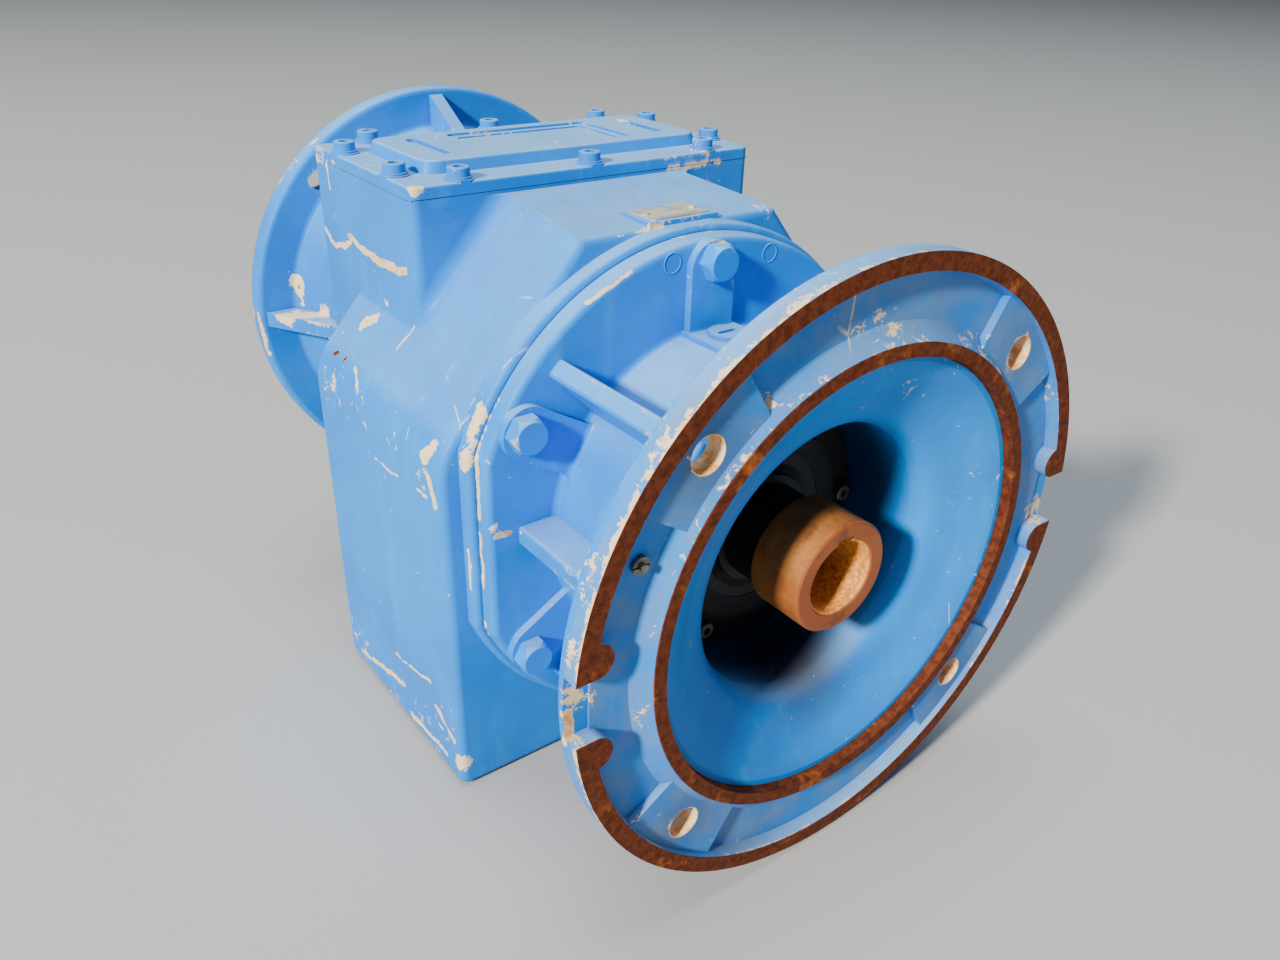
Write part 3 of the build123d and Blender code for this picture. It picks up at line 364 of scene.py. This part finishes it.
def worn_paint(name, bare=None, spots=(), strokes=(), wear=1.0, chalky_sheen=0.6, interior=None,
               dusty=None, stains_and_shade=(), band=None):
    """Sky-blue paint over primer, chipped at edges, at named spots and along named scratches.

    bare, interior, dusty and band are functions of the shader. They give masks of unpainted
    machined faces (with the golden ones among them), of inner faces darkened as painted shade,
    of dusty faces, and of worn bands, which can also carry a painted highlight. spots and stains
    are (x, y, z, radius, amount), a stain can carry painted shade too, and strokes are
    (start, end, width, rusty share).
    """
    shader = Shader(name)
    paint, mottle = paint_film(shader, chalky_sheen, dusty, stains_and_shade)
    level, rusty, region = paint_wear(shader, spots, strokes, wear, band)
    bared = bared_places(shader, level, region)

    # under the paint: cream primer, with rust where the chip is deep
    rust, grain = rust_colour(shader)
    deep = shader.times(shader.step(level, *DEEP_CHIP_LEVELS), shader.step(region, 0.46, 0.56))
    deep = shader.most(deep, rusty)
    stained = shader.blend(shader.step(grain, 0.40, 0.65), PRIMER, RUST_GOLD)
    under = shader.blend(shader.step(deep, 0.05, 0.5), PRIMER, stained)
    under = shader.blend(shader.step(deep, 0.5, 0.9), under, rust)
    colour = shader.blend(bared, paint, under)
    rough = shader.math("MULTIPLY_ADD", mottle, 0.22, 0.30)
    rough = shader.math("ADD", rough, shader.times(bared, 0.30), clamp=True)

    # relief: sand-cast skin under the paint film
    skin = shader.noise(170.0, 4.0, 0.6, shift=7.0)
    swell = shader.noise(38.0, 2.0, 0.5, shift=10.0)
    height = shader.math("ADD", shader.times(skin, 0.35), shader.times(swell, 0.9))

    # painted shade: the inner throat is darkened with the shade colour
    if interior:
        inside = interior(shader)
        colour = shader.blend(inside, colour, PAINTED_SHADE)
        rough = shader.most(rough, shader.times(inside, 0.75))
    if bare:
        mask, gold = bare(shader)
        colour = shader.blend(mask, colour, shader.blend(gold, rust, stained))
        rough = shader.most(rough, shader.times(mask, 0.72))
        machined = shader.times(shader.times(mask, grain), 0.8)
        height = shader.math("ADD", height, machined)
    shader.surface.inputs["Specular IOR Level"].default_value = PAINT_SPECULAR
    return shader.finish(colour, rough, height, 0.55)


def motor_face_mask(shader):
    """Machined front, land, register and bolt holes of the motor flange, and the holes alone.

    The holes are golden, and the rest is brown rust.
    """
    x, y, z = shader.split(shader.place)
    radius = shader.axis_distance()
    front = shader.math("LESS_THAN", y, 0.4 * MILLIMETRE)
    gap = shader.math("ABSOLUTE", shader.math("SUBTRACT", radius, SPIGOT_R))
    wall = shader.math("LESS_THAN", gap, 0.8 * MILLIMETRE)
    register = shader.times(wall, shader.math("LESS_THAN", y, 6.6 * MILLIMETRE))
    gap_x = shader.math("SUBTRACT", shader.math("ABSOLUTE", x), BOLT_OFFSET)
    gap_z = shader.math("SUBTRACT", shader.math("ABSOLUTE", z), BOLT_OFFSET)
    squares = shader.math("ADD", shader.times(gap_x, gap_x), shader.times(gap_z, gap_z))
    hole = shader.math("LESS_THAN", shader.math("SQRT", squares), BOLT_HOLE_R + 0.3 * MILLIMETRE)
    hole = shader.times(hole, shader.math("LESS_THAN", y, 0.03))
    return shader.any_of([front, register, hole]), hole


def output_face_mask(shader):
    """Machined face and spigot of the output flange, and an empty mask: none of it is golden."""
    _, y, _ = shader.split(shader.place)
    face = shader.math("GREATER_THAN", y, OUTPUT_FACE_Y - 0.4 * MILLIMETRE)
    return face, shader.times(face, 0.0)


def rim_wear_and_highlight(shader):
    """Knocked paint along the motor flange's outer edge, and a ring outside its land, stronger on
    its upper half, that is worn paint and partly a painted highlight.
    """
    x, y, z = shader.split(shader.place)
    radius = shader.axis_distance()
    edge = shader.step(radius, 0.1700, 0.1735)
    edge = shader.times(edge, shader.invert(shader.step(y, 0.001, 0.010)))
    left = shader.invert(shader.step(x, -0.10, 0.02))
    edge = shader.times(edge, shader.math("MULTIPLY_ADD", left, 0.15, 0.21))
    # ring outside the land: bared cream paint that also paints a highlight, stronger on the upper
    # half
    ring = shader.step(radius, 0.1318, 0.1324)
    ring = shader.times(ring, shader.invert(shader.step(radius, 0.1340, 0.1385)))
    ring = shader.times(ring, shader.math("LESS_THAN", y, RECESS_Y))
    upper = shader.step(z, -0.04, 0.06)
    ring = shader.times(ring, shader.math("MULTIPLY_ADD", upper, 0.17, 0.08))
    return shader.most(edge, ring)


def recess_mask(shader):
    """Dust that lies in the motor flange's front recess."""
    _, y, _ = shader.split(shader.place)
    radius = shader.axis_distance()
    shallow = shader.math("LESS_THAN", y, RECESS_Y)
    ring = shader.times(shader.step(radius, LAND_R, 0.134), shallow)
    return shader.times(ring, 0.55)


def throat_shade_mask(shader):
    """Painted shade in the adapter's inner throat: it darkens the throat towards dark navy."""
    _, y, _ = shader.split(shader.place)
    radius = shader.axis_distance()
    inner = shader.invert(shader.step(radius, 0.078, 0.084))
    return shader.times(shader.times(inner, shader.step(y, 0.026, 0.060)), 0.85)


def rusty_hub(name):
    """Turned steel hub: tan rust outside, orange at its front, golden dusty bore, and painted shade
    on the shaft behind it.
    """
    shader = Shader(name)
    _, y, _ = shader.split(shader.place)
    radius = shader.axis_distance()
    blotch = shader.noise(34.0, 5.0, 0.65, warp=0.6)
    grain = shader.noise(420.0, 4.0, 0.7, shift=2.0)
    outer = shader.blend(shader.step(blotch, 0.36, 0.62), HUB_TAN, HUB_BROWN)
    outer = shader.blend(shader.times(shader.step(grain, 0.5, 0.7), 0.4), outer, RUST_BROWN)
    face = shader.math("LESS_THAN", y, HUB_FRONT_Y + 1.0 * MILLIMETRE)
    outer = shader.blend(shader.times(face, 0.7), outer, HUB_FACE)
    bore = shader.math("LESS_THAN", radius, BORE_R + 1.2 * MILLIMETRE)
    gold = shader.blend(shader.step(grain, 0.35, 0.7), BORE_GOLD, BORE_BROWN)
    colour = shader.blend(bore, outer, gold)
    stain = shader.step(shader.noise(60.0, 3.0, 0.6, shift=5.0), 0.60, 0.72)
    colour = shader.blend(shader.times(stain, 0.5), colour, RUST_DARK)
    # painted shade: the shaft behind the hub is coloured near black, as it lies in shade
    shaded_journal = shader.math("GREATER_THAN", y, HUB_BACK_Y + 0.4 * MILLIMETRE)
    colour = shader.blend(shaded_journal, colour, SHADE_BLACK)
    turning = shader.math("SINE", shader.times(y, HUB_TURNING))
    height = shader.math("ADD", shader.times(turning, 0.12), shader.times(grain, 0.8))
    rough = shader.math("MULTIPLY_ADD", blotch, 0.25, 0.45)
    return shader.finish(colour, rough, height, 0.5)


def turned_steel(name, tint=STEEL, rough=0.32, stained=0.35):
    """Machined steel with fine turning lines and light rust stains."""
    shader = Shader(name)
    _, y, _ = shader.split(shader.place)
    stain = shader.step(shader.noise(48.0, 4.0, 0.65), 0.5, 0.72)
    colour = shader.blend(shader.times(stain, stained), tint, RUST_BROWN)
    turning = shader.math("SINE", shader.times(y, STEEL_TURNING))
    grain = shader.noise(600.0, 3.0, 0.6)
    height = shader.math("ADD", shader.times(turning, 0.2), shader.times(grain, 0.5))
    roughness = shader.math("MULTIPLY_ADD", stain, 0.3, rough)
    return shader.finish(colour, roughness, height, 0.25, metallic=0.9)


def dark_iron_shade(name):
    """Near-black casting: painted shade for the cast-iron parts, such as the bearing cover behind
    the hub, that lie in shade.
    """
    shader = Shader(name)
    blotch = shader.noise(60.0, 5.0, 0.65)
    grain = shader.noise(300.0, 4.0, 0.7, shift=2.0)
    colour = shader.blend(shader.step(blotch, 0.35, 0.7), IRON_SHADE_BLUE, IRON_SHADE_BROWN)
    rough = shader.math("MULTIPLY_ADD", grain, 0.3, 0.45)
    return shader.finish(colour, rough, grain, 0.5, metallic=0.4)


def soft_black(name, tint, rough):
    """Rubber seal or fibre gasket."""
    shader = Shader(name)
    grain = shader.noise(500.0, 3.0, 0.6)
    dust = shader.step(shader.noise(70.0, 4.0, 0.65, shift=1.0), 0.5, 0.8)
    colour = shader.blend(shader.times(dust, 0.4), tint, FIBRE_DUST)
    roughness = shader.math("MULTIPLY_ADD", dust, 0.2, rough)
    return shader.finish(colour, roughness, grain, 0.4)


def old_plate(name):
    """Blank rating plate: dull alloy with paint and dirt left on it."""
    shader = Shader(name)
    wipe = shader.noise(60.0, 5.0, 0.7, stretch=(0.35, 1.6, 1.0))
    grain = shader.noise(500.0, 3.0, 0.6, shift=3.0)
    colour = shader.blend(shader.step(wipe, 0.42, 0.62), PLATE_LIGHT, PLATE_DULL)
    left = shader.step(shader.noise(120.0, 4.0, 0.65, shift=6.0), 0.58, 0.64)
    colour = shader.blend(shader.times(left, 0.8), colour, PAINT_PALE)
    rough = shader.math("MULTIPLY_ADD", wipe, 0.3, 0.35)
    return shader.finish(colour, rough, grain, 0.4, metallic=0.35)


# ---- pieces -----------------------------------------------------------------
def dress(node, material):
    """Gives a CAD node its material."""
    thing = frame["nodes"][node]
    thing.data.materials.clear()
    thing.data.materials.append(material)


def soften_edges(node, width, angle=28.0):
    """Rounds a casting's sharp edges without touching its mesh."""
    thing = frame["nodes"][node]
    flat = thing.modifiers.new("flat_faces", "DECIMATE")
    flat.decimate_type = "DISSOLVE"
    flat.angle_limit = math.radians(0.8)
    bevel = thing.modifiers.new("cast_edges", "BEVEL")
    bevel.width = width
    bevel.segments = 3
    bevel.limit_method = "ANGLE"
    bevel.angle_limit = math.radians(angle)
    bevel.harden_normals = False
    normals = thing.modifiers.new("even_normals", "WEIGHTED_NORMAL")
    normals.keep_sharp = True


def on_chamfer(y, z):
    """A place on the housing's left sloping face."""
    return (HOUSE_LOW[0] + (z - CHAMFER_Z) / CHAMFER_SLOPE, y, z)


def worn_places():
    """Where the housing's paint has taken knocks, as (x, y, z, radius, amount)."""
    left, right = HOUSE_LOW[0], HOUSE_HIGH[0]
    tower_left, tower_front, top = COVER_LOW[0], COVER_LOW[1], COVER_LOW[2]
    bottom = HOUSE_LOW[2]
    front = HOUSE_FRONT_Y
    return (
        (tower_left + 0.004, tower_front, top + 0.006, 0.010, 0.46),
        (tower_left, tower_front + 0.112, top + 0.002, 0.034, 0.22),
        (tower_left, tower_front + 0.070, top, 0.026, 0.20),
        (tower_left, tower_front + 0.100, top - 0.030, 0.026, 0.14),
        (0.062, front + 0.004, 0.155, 0.018, 0.26),
        (left, front + 0.145, 0.040, 0.035, 0.25),
        (left, front + 0.100, 0.044, 0.035, 0.23),
        (left, front + 0.060, 0.048, 0.030, 0.22),
        (left, front + 0.020, 0.036, 0.022, 0.26),
        (left, front + 0.015, bottom + 0.040, 0.034, 0.25),
        (left, front + 0.045, bottom + 0.012, 0.045, 0.25),
        (left, front + 0.100, bottom + 0.004, 0.040, 0.27),
        (left, front + 0.150, bottom + 0.020, 0.040, 0.24),
        (left + 0.001, front + 0.001, bottom + 0.020, 0.012, 0.44),
        (left, front + 0.130, bottom + 0.120, 0.080, 0.14),
        (right, front + 0.020, bottom + 0.020, 0.060, 0.24),
        (right, front + 0.120, 0.030, 0.050, 0.24),
        (right, front + 0.060, bottom + 0.004, 0.050, 0.26),
        (0.060, front, bottom + 0.006, 0.050, 0.26),
    )


def scratches():
    """Long scratches on the housing, as (start, end, width, rusty share)."""
    left, front, bottom = HOUSE_LOW[0], HOUSE_FRONT_Y, HOUSE_LOW[2]
    tower = COVER_LOW[0]
    seat = SEAT_Y + 0.004
    lid_front, lid_top = COVER_LOW[1], COVER_HIGH[2] - 0.0075
    return (
        ((0.024, lid_front, lid_top), (0.058, lid_front, lid_top), 0.0022, 0.0),
        ((0.060, lid_front, lid_top), (0.118, lid_front, lid_top), 0.0030, 0.3),
        ((tower, 0.283, lid_top), (tower, 0.318, lid_top), 0.0026, 0.5),
        ((tower, 0.322, lid_top), (tower, 0.362, lid_top), 0.0034, 0.3),
        ((tower, 0.357, lid_top), (tower, 0.354, lid_top - 0.022), 0.0018, 0.0),
        ((tower + 0.001, lid_front, lid_top - 0.001), (tower + 0.010, lid_front + 0.001, lid_top),
         0.0060, 1.0),
        ((-0.055, front, 0.1545), (-0.036, front, 0.1545), 0.0020, 0.0),
        ((-0.032, front, 0.1545), (-0.017, front, 0.1545), 0.0024, 0.2),
        ((tower, 0.372, 0.117), (tower, 0.356, 0.111), 0.0030, 0.3),
        ((tower, 0.356, 0.111), (tower, 0.330, 0.118), 0.0034, 0.2),
        ((tower, 0.332, 0.122), (tower, 0.298, 0.117), 0.0036, 0.3),
        ((tower, 0.298, 0.117), (tower, 0.252, 0.120), 0.0052, 0.4),
        (on_chamfer(0.300, 0.098), on_chamfer(0.282, 0.094), 0.0060, 0.0),
        (on_chamfer(0.297, 0.077), on_chamfer(0.286, 0.084), 0.0060, 0.15),
        (on_chamfer(0.249, 0.070), on_chamfer(0.245, 0.090), 0.0016, 0.0),
        (on_chamfer(0.244, 0.098), on_chamfer(0.242, 0.128), 0.0014, 0.0),
        (on_chamfer(0.307, 0.059), on_chamfer(0.305, 0.060), 0.0040, 1.0),
        (on_chamfer(0.292, 0.059), on_chamfer(0.291, 0.060), 0.0034, 1.0),
        (on_chamfer(0.275, 0.061), (left + 0.001, 0.262, 0.050), 0.0024, 0.0),
        ((left + 0.006, front + 0.004, 0.076), (left + 0.001, front + 0.019, 0.047), 0.0075, 0.12),
        ((left, front + 0.012, 0.036), (left, front + 0.008, 0.022), 0.0050, 0.0),
        ((left, front + 0.085, 0.017), (left, front + 0.018, 0.023), 0.0016, 0.0),
        ((left, front + 0.085, bottom + 0.050), (left, front + 0.034, bottom + 0.062), 0.0018, 0.0),
        ((left, front + 0.150, bottom + 0.012), (left, front + 0.078, bottom + 0.030), 0.0032, 0.3),
        ((left, front + 0.070, bottom + 0.010), (left, front + 0.020, bottom + 0.014), 0.0034, 0.2),
        ((left, front + 0.030, bottom + 0.046), (left, front + 0.006, bottom + 0.034), 0.0036, 0.2),
        ((-0.133, seat, 0.078), (-0.146, seat, 0.048), 0.0064, 0.12),
        ((-0.1455, seat, -0.004), (-0.1455, seat, -0.028), 0.0030, 0.0),
    )


def flange_places():
    """Worn places of the motor adapter, as (x, y, z, radius, amount)."""
    places = [
        (-FLANGE_R + 0.006, 0.002, 0.003, 0.020, 0.46),
        (-FLANGE_R + 0.004, 0.002, -0.022, 0.014, 0.34),
        (-0.162, 0.002, 0.065, 0.030, 0.30),
        (-0.171, 0.002, 0.032, 0.022, 0.34),
        (-0.128, 0.002, 0.119, 0.024, 0.32),
        (-0.060, 0.004, 0.164, 0.030, 0.25),
        (0.156, 0.004, 0.078, 0.024, 0.33),
        (FLANGE_R - 0.008, 0.006, -0.010, 0.020, 0.36),
        (0.060, 0.002, 0.120, 0.030, 0.25),
        (-0.005, 0.002, 0.134, 0.045, 0.25),
        (-0.070, 0.002, 0.113, 0.030, 0.25),
        (-0.133, 0.003, -0.020, 0.020, 0.26),
        (0.128, 0.003, -0.040, 0.030, 0.25),
        (0.030, 0.014, 0.095, 0.025, 0.22),
        (0.100, 0.014, 0.020, 0.030, 0.22),
        (-0.137, PLATE_Y, 0.015, 0.009, 0.30),
        (-0.125, 0.075, 0.008, 0.020, 0.26),
        (-0.072, 0.090, 0.070, 0.050, 0.12),
    ]
    for side_x in (-1, 1):
        for side_z in (-1, 1):
            places.append((side_x * BOLT_OFFSET, 0.004, side_z * BOLT_OFFSET, 0.016, 0.32))
    return tuple(places)


def adapter_dirt_and_shade():
    """Dirt on the motor adapter's bolt pads, and brown dirt with painted shade low in its bowl and
    throat, as (x, y, z, radius, amount).
    """
    # brown dirt and painted shade at the bottom of the bowl, by the throat
    stains_and_shade = [(0.004, 0.048, -0.078, 0.052, 0.85)]
    for side_x, side_z, amount in ((-1, 1, 0.38), (1, 1, 0.25), (-1, -1, 0.35), (1, -1, 0.30)):
        stains_and_shade.append((side_x * BOLT_OFFSET, 0.004, side_z * BOLT_OFFSET, 0.034, amount))
    return tuple(stains_and_shade)


def flange_scratches():
    """Scratches of the motor adapter, as (start, end, width, rusty share)."""
    edge = -0.1405
    seam = SEAT_Y - 0.002
    return (
        ((-0.169, 0.003, 0.006), (-0.165, 0.004, -0.007), 0.0085, 0.55),
        ((-0.173, 0.008, -0.004), (-0.172, 0.010, -0.020), 0.0050, 0.60),
        ((edge, seam, 0.056), (edge, seam, 0.020), 0.0036, 0.3),
        ((edge, seam, 0.010), (edge, seam, -0.026), 0.0024, 0.2),
        ((edge, seam, -0.050), (-0.130, seam, -0.076), 0.0034, 0.3),
        ((-0.078, PLATE_Y + 0.001, 0.128), (-0.052, PLATE_Y + 0.001, 0.141), 0.0022, 0.0),
        ((-0.137, PLATE_Y - 0.001, 0.012), (-0.124, PLATE_Y - 0.002, 0.010), 0.0030, 0.5),
        ((-0.171, 0.0010, 0.034), (-0.150, 0.0010, 0.090), 0.0030, 0.2),
        ((-0.150, 0.0010, 0.090), (-0.122, 0.0010, 0.125), 0.0030, 0.3),
    )


def rear_scratches():
    """Scratches of the output flange, as (start, end, width, rusty share)."""
    rib_top = OUTPUT_Z + 0.005
    return (
        ((-0.137, 0.436, rib_top), (-0.112, 0.424, rib_top), 0.0120, 0.05),
        ((-0.126, 0.440, rib_top + 0.004), (-0.121, 0.446, rib_top + 0.020), 0.0090, 0.0),
        ((-0.1495, 0.454, OUTPUT_Z + 0.004), (-0.1460, 0.452, OUTPUT_Z - 0.026), 0.0040, 0.5),
        ((-0.110, 0.456, OUTPUT_Z + 0.100), (-0.090, 0.456, OUTPUT_Z + 0.119), 0.0036, 0.0),
    )


def raised_ring(name, centre, normal, radius, thickness):
    """Small cast ring mark: a half-sunk torus built in mesh."""
    around, section = 48, 12
    mesh = bpy.data.meshes.new(name)
    shape = bmesh.new()
    rows = []
    for i in range(around):
        turned = 2 * math.pi * i / around
        row = []
        for j in range(section):
            tilted = 2 * math.pi * j / section
            reach, rise = radius + thickness * math.cos(tilted), thickness * math.sin(tilted)
            row.append(shape.verts.new((reach * math.cos(turned), reach * math.sin(turned), rise)))
        rows.append(row)
    for i in range(around):
        row, following = rows[i], rows[(i + 1) % around]
        for j in range(section):
            k = (j + 1) % section
            shape.faces.new((row[j], following[j], following[k], row[k]))
    turn = Vector(normal).to_track_quat("Z", "Y").to_matrix().to_4x4()
    bmesh.ops.transform(shape, matrix=Matrix.Translation(centre) @ turn, verts=shape.verts)
    bmesh.ops.recalc_face_normals(shape, faces=shape.faces)
    shape.to_mesh(mesh)
    shape.free()
    mesh.shade_smooth()
    thing = bpy.data.objects.new(name, mesh)
    bpy.context.collection.objects.link(thing)
    return thing


def cast_marks(material):
    """Plain round mould marks on the adapter plate."""
    places = ((0.045, 0.136, 0.0052), (-0.025, 0.141, 0.0055))
    for number, (x, z, radius) in enumerate(places, 1):
        centre = (x, PLATE_Y, z)
        mark = raised_ring(f"mould_mark_{number}", centre, (0, -1, 0), radius, 0.4 * MILLIMETRE)
        mark.data.materials.append(material)
        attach(mark, "housing_body")


# ---- dressing ---------------------------------------------------------------
def dress_everything():
    """Materials of every CAD node, rounded edges of the castings, and the cast marks."""
    housing_paint = worn_paint("housing_paint", spots=worn_places(), strokes=scratches())
    cover_paint = worn_paint("cover_paint", spots=worn_places(), chalky_sheen=0.85)
    adapter_paint = worn_paint("adapter_paint", bare=motor_face_mask, spots=flange_places(),
                               strokes=flange_scratches(), interior=throat_shade_mask, dusty=recess_mask,
                               stains_and_shade=adapter_dirt_and_shade(), band=rim_wear_and_highlight)
    rear_paint = worn_paint("output_flange_paint", bare=output_face_mask, strokes=rear_scratches())
    small_paint = worn_paint("fastener_paint", wear=0.8)
    hub = rusty_hub("hub_rust")
    steel = turned_steel("turned_steel")
    zinc = turned_steel("dull_zinc", ZINC, 0.45, 0.5)
    bright = turned_steel("bearing_steel", BRIGHT_STEEL, 0.35, 0.1)
    iron = dark_iron_shade("dark_iron_shade")
    rubber = soft_black("seal_rubber", RUBBER, 0.6)
    fibre = soft_black("gasket_fibre", FIBRE, 0.8)
    plate = old_plate("rating_plate_metal")
    by_slot = {"gasket": fibre, "plate_alloy": plate, "zinc_steel": zinc, "cast_iron": iron,
               "seal_rubber": rubber, "rusty_steel": hub, "machined_steel": steel,
               "bearing_steel": bright}
    by_node = {"housing": housing_paint, "top_cover": cover_paint, "input_adapter": adapter_paint,
               "output_flange": rear_paint, "cover_gasket": cover_paint}
    for row in frame["record"]["subparts"]:
        node, slot = row["node"], row["material_slot"]
        dress(node, by_node.get(node) or by_slot.get(slot) or small_paint)
    for node, width in (("housing", 0.0012), ("input_adapter", 0.0010), ("output_flange", 0.0012),
                        ("top_cover", 0.0010)):
        soften_edges(node, width)
    cast_marks(adapter_paint)


# ---- camera, floor and light ------------------------------------------------
CAMERA_PLACE = (-0.3575, -0.2785, 0.2985)
CAMERA_AZIMUTH, CAMERA_ELEVATION, CAMERA_ROLL = 37.62, 29.23, 1.87
SENSOR_WIDTH, FOCAL_LENGTH = 36.0, 28.8
FRAMING_SHIFT = (-0.0015, 0.0095)
FLOOR_HALF_SIZE = 16.0
FLOOR_GAP = 0.0005
LIGHT_DISTANCE = 7.5


def look(location, azimuth, elevation, roll):
    """Camera matrix that looks along an azimuth (from +Y towards +X) and down by elevation."""
    a, e = math.radians(azimuth), math.radians(elevation)
    ahead = Vector((math.sin(a) * math.cos(e), math.cos(a) * math.cos(e), -math.sin(e)))
    level = Vector((math.cos(a), -math.sin(a), 0.0))
    over = level.cross(ahead)
    r = math.radians(roll)
    right = level * math.cos(r) + over * math.sin(r)
    above = over * math.cos(r) - level * math.sin(r)
    turn = Matrix((right, above, -ahead)).transposed().to_4x4()
    return Matrix.Translation(location) @ turn


def make_camera():
    """Camera at the photograph's angle."""
    data = bpy.data.cameras.new("camera")
    data.sensor_width = SENSOR_WIDTH
    data.lens = FOCAL_LENGTH
    data.shift_x, data.shift_y = FRAMING_SHIFT
    data.clip_end = 50.0
    camera = bpy.data.objects.new("camera", data)
    camera.matrix_world = look(CAMERA_PLACE, CAMERA_AZIMUTH, CAMERA_ELEVATION, CAMERA_ROLL)
    bpy.context.collection.objects.link(camera)
    bpy.context.scene.camera = camera


def make_floor():
    """Plain pale floor under the housing."""
    mesh = bpy.data.meshes.new("floor")
    size = FLOOR_HALF_SIZE
    corners = [(-size, -size, 0), (size, -size, 0), (size, size, 0), (-size, size, 0)]
    mesh.from_pydata(corners, [], [(0, 1, 2, 3)])
    floor = bpy.data.objects.new("floor", mesh)
    floor.location = (0, 0.2, CAD_BOX[0][2] - FLOOR_GAP)
    material = bpy.data.materials.new("pale_floor")
    material.use_nodes = True
    surface = material.node_tree.nodes["Principled BSDF"]
    surface.inputs["Base Color"].default_value = FLOOR_GREY
    surface.inputs["Roughness"].default_value = 0.9
    mesh.materials.append(material)
    bpy.context.collection.objects.link(floor)


def area_light(name, towards, size, power, colour):
    """Soft light that shines on the middle of the object from a direction."""
    data = bpy.data.lights.new(name, "AREA")
    data.size = size
    data.energy = power
    data.color = colour
    light = bpy.data.objects.new(name, data)
    middle = (Vector(CAD_BOX[0]) + Vector(CAD_BOX[1])) / 2
    direction = Vector(towards).normalized()
    light.location = middle + direction * LIGHT_DISTANCE
    light.rotation_mode = "QUATERNION"
    light.rotation_quaternion = direction.to_track_quat("Z", "Y")
    bpy.context.collection.objects.link(light)


def make_light():
    """Low warm key from the left, broad cool light from above, pale surroundings."""
    world = bpy.data.worlds.new("studio")
    world.use_nodes = True
    background = world.node_tree.nodes["Background"]
    background.inputs["Color"].default_value = SKY_PALE
    background.inputs["Strength"].default_value = 0.20
    bpy.context.scene.world = world
    area_light("key", (-0.83, -0.27, 0.48), 0.65, 1360, (1.0, 0.93, 0.80))
    area_light("sky", (0.0, 0.0, 1.0), 4.0, 475, (0.84, 0.93, 1.0))


dress_everything()
make_camera()
make_floor()
make_light()

bpy.context.view_layer.update()
